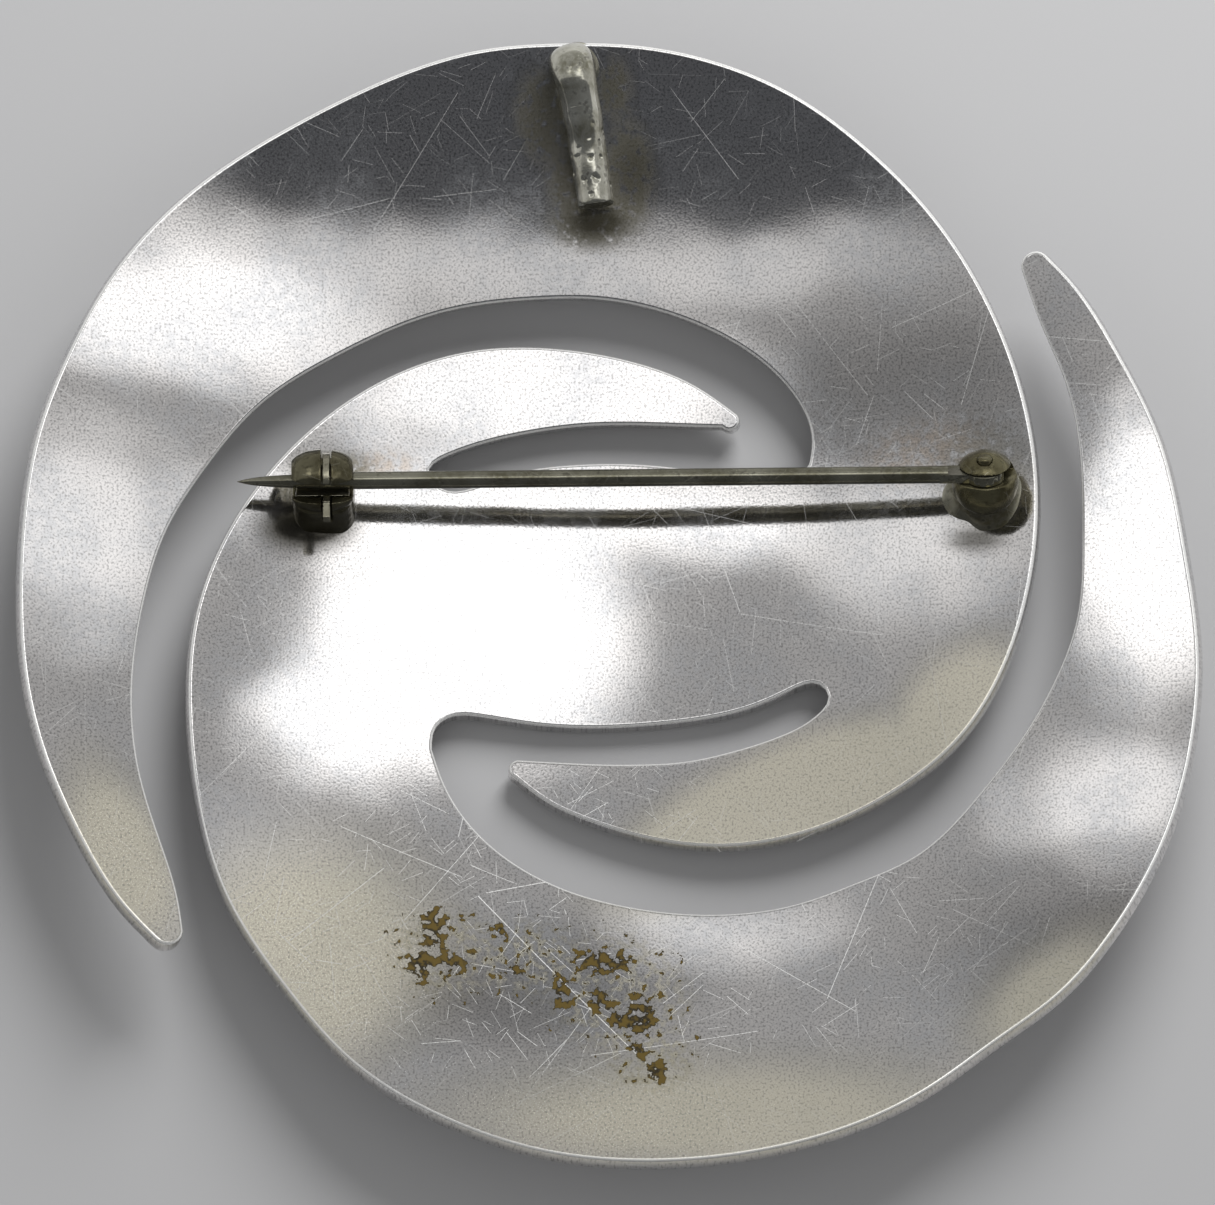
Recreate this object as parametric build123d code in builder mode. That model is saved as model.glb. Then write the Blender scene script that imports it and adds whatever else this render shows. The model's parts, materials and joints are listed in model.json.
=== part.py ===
from build123d import *
from math import cos, hypot, radians, sin, sqrt
import os

# A silver swirl brooch that lies face down, so its hollow back and its fittings point up (+Z).
# +X is the long way of the plate and +Y is the edge with the pendant hook. Millimetres.
# The origin is under the middle of the plate, at the lowest point of the dome.

# The plate: one sheet, pierced, then domed to part of a sphere
PLATE_WIDTH = 63.0
PLATE_LENGTH = 62.5
SHEET = 1.0
BOWL_RADIUS = 110.0
MIDDLE_LIFT = 1.4

# The pin line: where the hinge and the catch stand, as shares of the plate's half sizes
HINGE_PLACE = (0.633, 0.217)
CATCH_PLACE = (-0.475, 0.213)
PIN_STANDOFF = 3.1
EXIT_ANGLE = 45.0

# The pin stem, which runs past the catch by its overhang
PIN_DIAMETER = 0.93
PIN_OVERHANG = 4.75
EYE_WALL = 0.55
EYE_THICKNESS = 0.5
TONGUE_WIDTH = 1.1

# The hinge ball, set lower than the pin and a little to one side, and its rivet
HINGE_BALL_RADIUS = 1.75
HINGE_BALL_DROP = 0.9
HINGE_BALL_SIDE = 0.17
RIVET_DIAMETER = 0.8
RIVET_DEPTH = 1.7
RIVET_PROUD = 0.14
EYE_EASE = 0.05
EYE_SIDE_EASE = 0.05
EYE_SWING_EASE = 0.15
RIVET_EASE = 0.02
SHOULDER_EASE = 0.2

# The catch housing, walled round the sleeve
CATCH_WALL = 0.76
CATCH_END_WALL = 0.33
CATCH_TIP_REACH = 1.85
CATCH_HINGE_REACH = 1.4
MOUTH_EASE = 0.085
FOOT_WIDTH = 3.9
FOOT_TOP_GAP = 0.55
FOOT_NARROWING = 0.3
FOOT_CORNER = 0.5

# The turning sleeve of the catch, with a disc in the housing's slot and a tab for the thumb
SLEEVE_WALL = 0.3
SLEEVE_PIN_EASE = 0.095
SLEEVE_EASE = 0.06
SLEEVE_SETBACK = 0.2
SLEEVE_GAP_EASE = 0.055
DISC_DEPTH = 0.59
DISC_THICKNESS = 0.38
DISC_EASE = 0.13
DISC_SIDE_EASE = 0.08
TAB_PROUD = 0.62
TAB_WIDTH = 0.6
TAB_TURN = 36.0

# The pendant hook, a bent wire soldered near the top edge, with the gaps left under it
HOOK_WIRE = 1.96
HOOK_FOOT = (-0.0572, 0.952)
HOOK_END = (-0.0219, 0.705)
HOOK_BEND_SHARE = 0.58
HOOK_TOP_GAP = 1.62
HOOK_BEND_GAP = 0.82
HOOK_END_GAP = 0.87
HOOK_INNER_BEND = 0.17
HOOK_LOW_BEND = 6.0
HOOK_END_SLANT = -6.0

# Solder at the feet of the fittings
SOLDER_ROOT = 0.3
HOOK_SOLDER = 0.24
HOOK_SOLDER_TAPER = 30.0
HINGE_SOLDER = 0.35
HINGE_SOLDER_RISE = 1.3
HINGE_SOLDER_TAPER = 32.0

# The plate's outline as shares of half its width (x) and half its length (y), piece by piece.
# It is drawn as seen from a slant, where the rim of the bowl stands up: the middle is lifted back.
OUTER_EDGE = (
    (-0.768, -0.606), (-0.823, -0.546), (-0.902, -0.412), (-0.956, -0.283), (-0.992, -0.128),
    (-1.000, 0.000), (-0.995, 0.140), (-0.968, 0.308), (-0.923, 0.432), (-0.854, 0.568),
    (-0.759, 0.689), (-0.648, 0.783), (-0.510, 0.869), (-0.352, 0.947), (-0.224, 0.987),
    (-0.086, 1.000), (0.056, 0.995), (0.185, 0.966), (0.322, 0.903), (0.438, 0.813),
    (0.544, 0.700), (0.633, 0.559), (0.695, 0.403), (0.724, 0.262), (0.727, 0.121),
    (0.705, -0.017), (0.658, -0.149), (0.591, -0.252), (0.490, -0.338), (0.343, -0.412),
    (0.192, -0.439), (0.082, -0.428), (-0.035, -0.393), (-0.103, -0.361), (-0.160, -0.317),
)
LOWER_TIP = ((-0.160, -0.317), (-0.170, -0.303), (-0.155, -0.285))
LOWER_SLOT = (
    (-0.155, -0.285), (-0.082, -0.289), (-0.012, -0.292), (0.059, -0.292), (0.131, -0.287),
    (0.192, -0.274), (0.296, -0.239), (0.355, -0.202), (0.372, -0.172), (0.359, -0.151),
    (0.305, -0.163), (0.226, -0.197), (0.155, -0.213), (0.082, -0.222), (0.012, -0.227),
    (-0.130, -0.222), (-0.224, -0.207), (-0.264, -0.207), (-0.293, -0.227), (-0.300, -0.266),
)
LOWER_ARM_INSIDE = (
    (-0.300, -0.266), (-0.276, -0.335), (-0.205, -0.433), (-0.091, -0.508), (0.035, -0.546),
    (0.202, -0.559), (0.320, -0.541), (0.423, -0.502), (0.522, -0.453), (0.625, -0.349),
    (0.709, -0.232), (0.759, -0.137), (0.793, -0.036), (0.803, 0.105), (0.798, 0.273),
    (0.774, 0.393), (0.734, 0.493), (0.700, 0.596),
)
RIGHT_TIP = ((0.700, 0.596), (0.713, 0.622), (0.742, 0.620))
LOWER_EDGE = (
    (0.742, 0.620), (0.785, 0.573), (0.865, 0.444), (0.936, 0.289), (0.978, 0.094),
    (1.000, -0.089), (0.990, -0.248), (0.946, -0.417), (0.848, -0.601), (0.759, -0.707),
    (0.658, -0.785), (0.540, -0.873), (0.406, -0.940), (0.254, -0.982), (0.052, -1.000),
    (-0.116, -0.981), (-0.268, -0.928), (-0.436, -0.822), (-0.547, -0.693), (-0.652, -0.520),
    (-0.697, -0.357), (-0.714, -0.177), (-0.704, -0.038), (-0.675, 0.063), (-0.603, 0.197),
    (-0.476, 0.333), (-0.352, 0.410), (-0.234, 0.446), (-0.106, 0.451), (0.059, 0.421),
    (0.141, 0.387), (0.219, 0.331),
)
UPPER_TIP = ((0.219, 0.331), (0.222, 0.317), (0.192, 0.308))
UPPER_SLOT = (
    (0.192, 0.308), (0.121, 0.310), (-0.045, 0.310), (-0.172, 0.290), (-0.263, 0.262),
    (-0.306, 0.227), (-0.285, 0.200), (-0.234, 0.200), (-0.158, 0.227), (-0.069, 0.241),
    (0.072, 0.241), (0.172, 0.230), (0.263, 0.222), (0.322, 0.223), (0.340, 0.243),
)
UPPER_ARM_INSIDE = (
    (0.340, 0.243), (0.345, 0.282), (0.300, 0.386), (0.205, 0.465), (0.098, 0.513),
    (-0.022, 0.538), (-0.116, 0.538), (-0.281, 0.515), (-0.470, 0.432), (-0.589, 0.352),
    (-0.685, 0.236), (-0.751, 0.124), (-0.786, 0.010), (-0.808, -0.177), (-0.796, -0.301),
    (-0.764, -0.416), (-0.729, -0.536), (-0.722, -0.583),
)
LEFT_TIP = ((-0.722, -0.583), (-0.733, -0.611), (-0.768, -0.606))

LONG_EDGES = (OUTER_EDGE, LOWER_SLOT, LOWER_ARM_INSIDE, LOWER_EDGE, UPPER_SLOT, UPPER_ARM_INSIDE)
TIPS = (LOWER_TIP, RIGHT_TIP, UPPER_TIP, LEFT_TIP)

# The pin's taper: share of its length from the hinge, share of its radius
PIN_TAPER = ((0.835, 1.0), (0.928, 0.76), (0.957, 0.63), (0.975, 0.52), (0.990, 0.33), (1.0, 0.04))

half_width = PLATE_WIDTH / 2
half_length = PLATE_LENGTH / 2
dome_radius = BOWL_RADIUS + SHEET
pin_radius = PIN_DIAMETER / 2
rivet_radius = RIVET_DIAMETER / 2
eye_radius = rivet_radius + EYE_EASE + EYE_WALL
shoulder_reach = HINGE_BALL_RADIUS + SHOULDER_EASE
sleeve_bore = pin_radius + SLEEVE_PIN_EASE
sleeve_radius = sleeve_bore + SLEEVE_WALL
sleeve_hole = sleeve_radius + SLEEVE_EASE
disc_radius = sleeve_radius + DISC_DEPTH
catch_radius = sleeve_hole + CATCH_WALL
catch_end_radius = sleeve_hole + CATCH_END_WALL
hook_radius = HOOK_WIRE / 2


def seat_height(x, y):
    """Height of the bowl's inner face at a place on the plate."""
    return dome_radius - sqrt(BOWL_RADIUS**2 - x**2 - y**2)


def on_plate(place):
    """Point of the bowl's inner face at a pair of shares."""
    x = place[0] * half_width
    y = place[1] * half_length
    return Vector(x, y, seat_height(x, y))


def flat_point(share, scale):
    """Point of the flat outline, thrown from the sphere's centre onto the plane under the dome."""
    x = share[0] * half_width
    y = share[1] * half_length + MIDDLE_LIFT * (1 - share[0] ** 2 - share[1] ** 2)
    throw = scale / sqrt(1 - (hypot(x, y) / dome_radius) ** 2)
    return (x * throw, y * throw)


def solder_plane(point, depth):
    """Plane under a point of the bowl's inner face, square to it."""
    towards_centre = (Vector(0, 0, dome_radius) - point).normalized()
    return Plane(origin=point - towards_centre * depth, z_dir=towards_centre)


# The frame of the pin: along it, upright from it, and the slanted way that it leaves the catch
hinge_point = on_plate(HINGE_PLACE) + Vector(0, 0, PIN_STANDOFF)
catch_point = on_plate(CATCH_PLACE) + Vector(0, 0, PIN_STANDOFF)
catch_distance = (catch_point - hinge_point).length
along_pin = (catch_point - hinge_point).normalized()
upright = (Vector(0, 0, 1) - along_pin * along_pin.Z).normalized()
sideways = upright.cross(along_pin)
exit_way = upright * cos(radians(EXIT_ANGLE)) + sideways * sin(radians(EXIT_ANGLE))
rivet_axis = along_pin.cross(exit_way)

swing_plane = Plane(origin=hinge_point, x_dir=along_pin, z_dir=rivet_axis)
catch_plane = Plane(origin=catch_point, x_dir=along_pin, z_dir=rivet_axis)
catch_section = Plane(origin=catch_point, x_dir=exit_way, z_dir=along_pin)
catch_upright = Plane(origin=catch_point, x_dir=along_pin, z_dir=upright)
pin_axis = Axis(catch_point, along_pin)

# The plate: walls that all point at the sphere's centre, cut to the thickness of the sheet
rim_reach = max(hypot(x * half_width, y * half_length) for edge in LONG_EDGES for x, y in edge)
rim_height = seat_height(rim_reach, 0) + SHEET

with BuildPart() as plate:
    for height in (0, rim_height):
        scale = (dome_radius - height) / dome_radius
        with BuildSketch(Plane.XY.offset(height)):
            with BuildLine():
                for edge in LONG_EDGES:
                    Spline(*[flat_point(share, scale) for share in edge])
                for tip in TIPS:
                    ThreePointArc(*[flat_point(share, scale) for share in tip])
            make_face()
    loft(ruled=True)
    with BuildSketch(Plane.XZ):
        with Locations((0, dome_radius)):
            Circle(dome_radius)
            Circle(BOWL_RADIUS, mode=Mode.SUBTRACT)
        with Locations((-dome_radius, dome_radius)):
            Rectangle(2 * dome_radius, 4 * dome_radius, mode=Mode.SUBTRACT)
    revolve(axis=Axis.Z, mode=Mode.INTERSECT)

# The pendant hook: up from its foot, over a tight bend, then down towards its free end
foot = on_plate(HOOK_FOOT)
end = on_plate(HOOK_END)
bend_flat = foot + (end - foot) * HOOK_BEND_SHARE
bend = Vector(bend_flat.X, bend_flat.Y, seat_height(bend_flat.X, bend_flat.Y))
hook_start = foot - Vector(0, 0, SHEET / 2)
hook_route = (
    hook_start,
    foot + Vector(0, 0, hook_radius + HOOK_TOP_GAP),
    bend + Vector(0, 0, hook_radius + HOOK_BEND_GAP),
    end + Vector(0, 0, hook_radius + HOOK_END_GAP),
)
hook_bends = (hook_radius + HOOK_INNER_BEND, HOOK_LOW_BEND)
hook_flat_way = Vector(end.X - foot.X, end.Y - foot.Y, 0).normalized()
slant = radians(HOOK_END_SLANT)
hook_end_face = hook_flat_way * cos(slant) + Vector(0, 0, sin(slant))
hook_tail = (hook_route[3] - hook_route[2]).normalized() * hook_radius

with BuildPart() as pendant_hook:
    with BuildLine():
        FilletPolyline(*hook_route[:3], hook_route[3] + hook_tail, radius=hook_bends)
    with BuildSketch(Plane(origin=hook_start, z_dir=(0, 0, 1))):
        Circle(hook_radius)
    sweep()
    split(bisect_by=Plane(origin=hook_route[3], z_dir=hook_end_face), keep=Keep.BOTTOM)
    with BuildSketch(solder_plane(foot, HOOK_SOLDER)):
        Circle(hook_radius + HOOK_SOLDER)
    extrude(amount=2 * HOOK_SOLDER, taper=HOOK_SOLDER_TAPER)

# The catch: a barrel on a tapered foot, bored for the sleeve, slotted, with a slanted mouth
foot_depth = PIN_STANDOFF + SOLDER_ROOT
foot_length = CATCH_TIP_REACH + CATCH_HINGE_REACH

with BuildPart() as catch_housing:
    with BuildSketch(catch_plane):
        with BuildLine():
            Polyline(
                (-CATCH_HINGE_REACH, catch_end_radius),
                (-CATCH_HINGE_REACH, 0),
                (CATCH_TIP_REACH, 0),
                (CATCH_TIP_REACH, catch_end_radius),
            )
            ThreePointArc(
                (CATCH_TIP_REACH, catch_end_radius),
                (0, catch_radius),
                (-CATCH_HINGE_REACH, catch_end_radius),
            )
        make_face()
    revolve(axis=pin_axis)
    for level, narrowing in ((-foot_depth, 0), (-FOOT_TOP_GAP, FOOT_NARROWING)):
        with BuildSketch(catch_upright.offset(level)):
            with Locations(((CATCH_TIP_REACH - CATCH_HINGE_REACH) / 2, 0)):
                RectangleRounded(foot_length - narrowing, FOOT_WIDTH - 2 * narrowing, FOOT_CORNER)
    loft()
    with BuildSketch(catch_section):
        Circle(sleeve_hole)
        with Locations((2 * catch_radius, 0)):
            Rectangle(4 * catch_radius, PIN_DIAMETER + 2 * MOUTH_EASE)
    extrude(amount=2 * CATCH_TIP_REACH, both=True, mode=Mode.SUBTRACT)
    with BuildSketch(catch_upright.offset(-disc_radius - DISC_EASE)):
        Rectangle(DISC_THICKNESS + 2 * DISC_SIDE_EASE, FOOT_WIDTH + 2 * catch_radius)
    extrude(amount=4 * catch_radius, mode=Mode.SUBTRACT)

# The hinge: a ball cut by a slot for the eye of the pin and drilled for the rivet
ball_shift = sideways * HINGE_BALL_SIDE - upright * HINGE_BALL_DROP
ball_place = hinge_point + ball_shift
slot_floor = eye_radius + EYE_SWING_EASE
ball_top = ball_shift.dot(rivet_axis) + sqrt(HINGE_BALL_RADIUS**2 - ball_shift.dot(exit_way) ** 2)

with BuildPart() as hinge_ball:
    with Locations(Plane(origin=ball_place, x_dir=-upright, z_dir=along_pin)):
        Sphere(HINGE_BALL_RADIUS)
    with BuildSketch(solder_plane(on_plate(HINGE_PLACE) + sideways * HINGE_BALL_SIDE, SOLDER_ROOT)):
        Circle(HINGE_BALL_RADIUS + HINGE_SOLDER)
    extrude(amount=SOLDER_ROOT + HINGE_SOLDER_RISE, taper=HINGE_SOLDER_TAPER)
    with BuildSketch(swing_plane):
        with Locations((0, 2 * HINGE_BALL_RADIUS - slot_floor)):
            Rectangle(4 * HINGE_BALL_RADIUS, 4 * HINGE_BALL_RADIUS)
    extrude(amount=EYE_THICKNESS / 2 + EYE_SIDE_EASE, both=True, mode=Mode.SUBTRACT)
    with BuildSketch(swing_plane.offset(-RIVET_DEPTH - RIVET_EASE)):
        Circle(rivet_radius + RIVET_EASE)
    extrude(amount=RIVET_DEPTH + HINGE_BALL_RADIUS, mode=Mode.SUBTRACT)

# Soldered metal is one solid: the plate with its hook, catch housing and hinge ball
with BuildPart() as swirl_plate:
    add(plate.part)
    add(pendant_hook.part)
    add(catch_housing.part)
    add(hinge_ball.part)

# The pin stem: an eye on a flat tongue, then a round stem that tapers to its point
pin_length = catch_distance + PIN_OVERHANG
stem_points = [(share * pin_length, size * pin_radius) for share, size in PIN_TAPER]
pin_tip = (pin_length, 0)

with BuildPart() as pin_stem:
    with BuildSketch(swing_plane):
        with BuildLine():
            Polyline((shoulder_reach, 0), (shoulder_reach, pin_radius), stem_points[0])
            Spline(*stem_points)
            Polyline(stem_points[-1], pin_tip, (shoulder_reach, 0))
        make_face()
    revolve(axis=Axis(hinge_point, along_pin))
    with BuildSketch(swing_plane):
        Circle(eye_radius)
        with Locations(((shoulder_reach + pin_radius) / 2, 0)):
            Rectangle(shoulder_reach + pin_radius, TONGUE_WIDTH)
        Circle(rivet_radius + EYE_EASE, mode=Mode.SUBTRACT)
    extrude(amount=EYE_THICKNESS / 2, both=True)

# The rivet, with a domed head
with BuildPart() as hinge_rivet:
    with BuildSketch(swing_plane.offset(-RIVET_DEPTH)):
        Circle(rivet_radius)
    extrude(amount=RIVET_DEPTH + ball_top + RIVET_PROUD)
    fillet(hinge_rivet.edges().sort_by(Axis(hinge_point, rivet_axis))[-1], radius=rivet_radius / 2)

# The catch's turning sleeve, open on one side, with a disc in the slot and a thumb tab
tab_reach = catch_radius + TAB_PROUD
tab_middle = (sleeve_radius + tab_reach) / 2
disc_plane = catch_section.offset(-DISC_THICKNESS / 2)
sleeve_start = -CATCH_HINGE_REACH + SLEEVE_SETBACK
sleeve_length = CATCH_TIP_REACH + CATCH_HINGE_REACH - 2 * SLEEVE_SETBACK

with BuildPart() as catch_rotor:
    with BuildSketch(catch_section.offset(sleeve_start)):
        Circle(sleeve_radius)
    extrude(amount=sleeve_length)
    with BuildSketch(disc_plane):
        Circle(disc_radius)
        with PolarLocations(tab_middle, 1, start_angle=-TAB_TURN):
            Rectangle(tab_reach - sleeve_radius, TAB_WIDTH)
    extrude(amount=DISC_THICKNESS)
    with BuildSketch(catch_section):
        Circle(sleeve_bore)
        with Locations((2 * catch_radius, 0)):
            Rectangle(4 * catch_radius, PIN_DIAMETER + 2 * SLEEVE_GAP_EASE)
    extrude(amount=2 * CATCH_TIP_REACH, both=True, mode=Mode.SUBTRACT)

os.makedirs("parts", exist_ok=True)
swirl_plate.part.label = "swirl_plate"
pin_stem.part.label = "pin_stem"
hinge_rivet.part.label = "hinge_rivet"
catch_rotor.part.label = "catch_rotor"
export_step(swirl_plate.part, "parts/swirl_plate.step")
export_step(pin_stem.part, "parts/pin_stem.step")
export_step(hinge_rivet.part, "parts/hinge_rivet.step")
export_step(catch_rotor.part, "parts/catch_rotor.step")
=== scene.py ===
"""Looks of a silver swirl brooch that lies face down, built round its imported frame."""

import json
import logging
import math
from contextlib import contextmanager
from dataclasses import dataclass
from enum import Enum
from typing import Callable, Iterator, Sequence

import bmesh
import bpy
import numpy as np
from mathutils import Matrix, Vector, noise
from mathutils.kdtree import KDTree


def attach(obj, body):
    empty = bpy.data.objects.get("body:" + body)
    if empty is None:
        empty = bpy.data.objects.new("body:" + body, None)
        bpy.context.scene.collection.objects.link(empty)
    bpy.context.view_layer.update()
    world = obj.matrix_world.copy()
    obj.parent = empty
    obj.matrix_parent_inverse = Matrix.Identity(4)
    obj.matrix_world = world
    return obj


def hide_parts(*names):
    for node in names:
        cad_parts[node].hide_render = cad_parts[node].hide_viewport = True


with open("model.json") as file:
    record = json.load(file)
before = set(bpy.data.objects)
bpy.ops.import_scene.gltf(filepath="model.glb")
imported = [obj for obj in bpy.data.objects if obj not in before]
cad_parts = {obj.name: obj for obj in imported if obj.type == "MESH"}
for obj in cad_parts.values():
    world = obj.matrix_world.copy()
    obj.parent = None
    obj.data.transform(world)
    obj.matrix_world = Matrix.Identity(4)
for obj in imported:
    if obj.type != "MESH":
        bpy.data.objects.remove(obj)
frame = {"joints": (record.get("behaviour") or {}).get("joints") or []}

LOG = logging.getLogger("brooch")

# Shapes are made in millimetres and brought to the frame's metres when they are finished
MM = 0.001

# Points nearer than this many millimetres are one point
WELD = 1e-4

# Edges shade smooth below this many degrees, and a bevel takes those from this many up
SMOOTH_BELOW = 40.0
SHARP_FROM = 50.0

# Waves to the millimetre in the lumps of a casting
LUMP_WAVES = 1.9

# The blocks that cut slots are this deep and this wide in millimetres, larger than any fitting
CUT_DEPTH = 6.0
CUT_WIDTH = 8.0

# Where the noise of the plate's broad and fine waves is sliced
BROAD_SLICE = 3.0
FINE_SLICE = 40.0

Pair = tuple[float, float]
Colour = tuple[float, float, float]
Socket = bpy.types.NodeSocket
Piece = bpy.types.Object

# The plate's outline in thousandths of half its width (x) and half its length (y), run by run
OUTER_EDGE = (
    (-768, -606), (-823, -546), (-902, -412), (-956, -283), (-992, -128), (-1000, 0), (-995, 140),
    (-968, 308), (-923, 432), (-854, 568), (-759, 689), (-648, 783), (-510, 869), (-352, 947), (-224, 987),
    (-86, 1000), (56, 995), (185, 966), (322, 903), (438, 813), (544, 700), (633, 559), (695, 403),
    (724, 262), (727, 121), (705, -17), (658, -149), (591, -252), (490, -338), (343, -412), (192, -439),
    (82, -428), (-35, -393), (-103, -361), (-160, -317),
)
LOWER_TIP = ((-160, -317), (-170, -303), (-155, -285))
LOWER_SLOT = (
    (-155, -285), (-82, -289), (-12, -292), (59, -292), (131, -287), (192, -274), (296, -239), (355, -202),
    (372, -172), (359, -151), (305, -163), (226, -197), (155, -213), (82, -222), (12, -227), (-130, -222),
    (-224, -207), (-264, -207), (-293, -227), (-300, -266),
)
LOWER_ARM_INSIDE = (
    (-300, -266), (-276, -335), (-205, -433), (-91, -508), (35, -546), (202, -559), (320, -541),
    (423, -502), (522, -453), (625, -349), (709, -232), (759, -137), (793, -36), (803, 105), (798, 273),
    (774, 393), (734, 493), (700, 596),
)
RIGHT_TIP = ((700, 596), (713, 622), (742, 620))
LOWER_EDGE = (
    (742, 620), (785, 573), (865, 444), (936, 289), (978, 94), (1000, -89), (990, -248), (946, -417),
    (848, -601), (759, -707), (658, -785), (540, -873), (406, -940), (254, -982), (52, -1000), (-116, -981),
    (-268, -928), (-436, -822), (-547, -693), (-652, -520), (-697, -357), (-714, -177), (-704, -38),
    (-675, 63), (-603, 197), (-476, 333), (-352, 410), (-234, 446), (-106, 451), (59, 421), (141, 387),
    (219, 331),
)
UPPER_TIP = ((219, 331), (222, 317), (192, 308))
UPPER_SLOT = (
    (192, 308), (121, 310), (-45, 310), (-172, 290), (-263, 262), (-306, 227), (-285, 200), (-234, 200),
    (-158, 227), (-69, 241), (72, 241), (172, 230), (263, 222), (322, 223), (340, 243),
)
UPPER_ARM_INSIDE = (
    (340, 243), (345, 282), (300, 386), (205, 465), (98, 513), (-22, 538), (-116, 538), (-281, 515),
    (-470, 432), (-589, 352), (-685, 236), (-751, 124), (-786, 10), (-808, -177), (-796, -301),
    (-764, -416), (-729, -536), (-722, -583),
)
LEFT_TIP = ((-722, -583), (-733, -611), (-768, -606))


class Body(Enum):
    """The bodies that the pieces ride on."""

    BROOCH = "brooch"
    PIN = "pin"
    SLEEVE = "catch_sleeve"


class Slot(Enum):
    """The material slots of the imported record."""

    SHEET = "silver_sheet"
    WIRE = "pin_wire"
    FITTINGS = "fittings"


class Effect(Enum):
    """The shader node groups that more than one finish uses."""

    SCRATCHES = "short_scratches"
    CLOUDS = "tarnish_clouds"


def joint_frame(name: str) -> tuple[Vector, Vector]:
    """Reads a joint of the frame.

    Args:
        name: The joint's name.

    Returns:
        A point on its axis in millimetres, and the axis as a unit vector.
    """
    row = next(joint for joint in frame["joints"] if joint["name"] == name)
    return Vector(row["pos_m"]) / MM, Vector(row["axis"]).normalized()


HINGE_POINT, RIVET_WAY = joint_frame("pin_swing")
CATCH_POINT, PIN_WAY = joint_frame("catch_turn")
EXIT_WAY = RIVET_WAY.cross(PIN_WAY).normalized()
UP_WAY = (Vector((0, 0, 1)) - PIN_WAY * PIN_WAY.z).normalized()
SIDE_WAY = UP_WAY.cross(PIN_WAY)


def placed(origin: Vector, x_way: Vector, z_way: Vector) -> Matrix:
    """Builds the matrix of a local frame.

    Args:
        origin: Where the local origin lies.
        x_way: The local X axis.
        z_way: The local Z axis.

    Returns:
        The matrix from local to shared coordinates.
    """
    z_axis = z_way.normalized()
    y_axis = z_axis.cross(x_way).normalized()
    x_axis = y_axis.cross(z_axis)
    return Matrix.Translation(origin) @ Matrix((x_axis, y_axis, z_axis)).transposed().to_4x4()


def deselect_all() -> None:
    """Leaves every object deselected, in object mode."""
    active = bpy.context.view_layer.objects.active
    if active is not None and active.mode != "OBJECT":
        bpy.ops.object.mode_set(mode="OBJECT")
    bpy.ops.object.select_all(action="DESELECT")


def make_active(piece: Piece) -> None:
    """Selects one piece alone."""
    deselect_all()
    piece.select_set(True)
    bpy.context.view_layer.objects.active = piece


@contextmanager
def editing(piece: Piece) -> Iterator[None]:
    """Opens a piece in edit mode with all of it selected, and closes it again.

    Args:
        piece: The mesh piece.
    """
    make_active(piece)
    bpy.ops.object.mode_set(mode="EDIT")
    bpy.ops.mesh.select_mode(type="VERT")
    bpy.ops.mesh.select_all(action="SELECT")
    yield
    bpy.ops.object.mode_set(mode="OBJECT")


def pick(piece: Piece, kind: str, test: Callable[..., bool]) -> None:
    """Selects some of a piece that is open in edit mode, and nothing else.

    Args:
        piece: The mesh piece.
        kind: VERT, EDGE or FACE.
        test: Says of each vertex, edge or face whether it is selected.
    """
    bpy.ops.mesh.select_all(action="DESELECT")
    bpy.ops.mesh.select_mode(type=kind)
    mesh = bmesh.from_edit_mesh(piece.data)
    for item in {"VERT": mesh.verts, "EDGE": mesh.edges, "FACE": mesh.faces}[kind]:
        if test(item):
            item.select_set(True)
    bmesh.update_edit_mesh(piece.data)


def apply_modifier(piece: Piece, kind: str, **settings: object) -> None:
    """Adds a modifier and applies it at once.

    Args:
        piece: The mesh piece.
        kind: The modifier's type.
        settings: Its settings by name.
    """
    make_active(piece)
    modifier = piece.modifiers.new(kind.lower(), kind)
    for name, value in settings.items():
        setattr(modifier, name, value)
    bpy.ops.object.modifier_apply(modifier=modifier.name)


def combine(piece: Piece, tool: Piece, operation: str) -> None:
    """Joins a tool to a piece or cuts it out, and removes the tool.

    Args:
        piece: The mesh piece that stays.
        tool: The other piece.
        operation: UNION or DIFFERENCE.
    """
    apply_modifier(piece, "BOOLEAN", operation=operation, object=tool, solver="EXACT")
    bpy.data.objects.remove(tool)


def shift_vertices(piece: Piece, move: Callable[[Vector, Vector], Vector]) -> None:
    """Moves every vertex of a piece.

    Args:
        piece: The mesh piece.
        move: Gives the new place for a vertex's place and normal.
    """
    normals = [vertex.normal.copy() for vertex in piece.data.vertices]
    for vertex, normal in zip(piece.data.vertices, normals):
        vertex.co = move(vertex.co.copy(), normal)
    piece.data.update()


def adopt(name: str, place: Matrix) -> Piece:
    """Names the primitive that was just added, moves its mesh to its place and returns it."""
    piece = bpy.context.object
    piece.name = name
    piece.data.transform(place)
    return piece


def block(name: str, place: Matrix, size: Sequence[float]) -> Piece:
    """Adds a cube primitive as a box of its own size.

    Args:
        name: The object's name.
        place: The box's middle and axes.
        size: Its three sides.

    Returns:
        The box.
    """
    deselect_all()
    bpy.ops.mesh.primitive_cube_add(size=1)
    return adopt(name, place @ Matrix.Diagonal((*size, 1)))


def rod(name: str, place: Matrix, radius: float, length: float, sides: int = 64) -> Piece:
    """Adds a cylinder primitive along its frame's Z axis.

    Args:
        name: The object's name.
        place: The rod's middle and axes.
        radius: Its radius.
        length: Its length.
        sides: How many sides it has.

    Returns:
        The rod.
    """
    deselect_all()
    bpy.ops.mesh.primitive_cylinder_add(vertices=sides, radius=radius, depth=length)
    return adopt(name, place)


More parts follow.
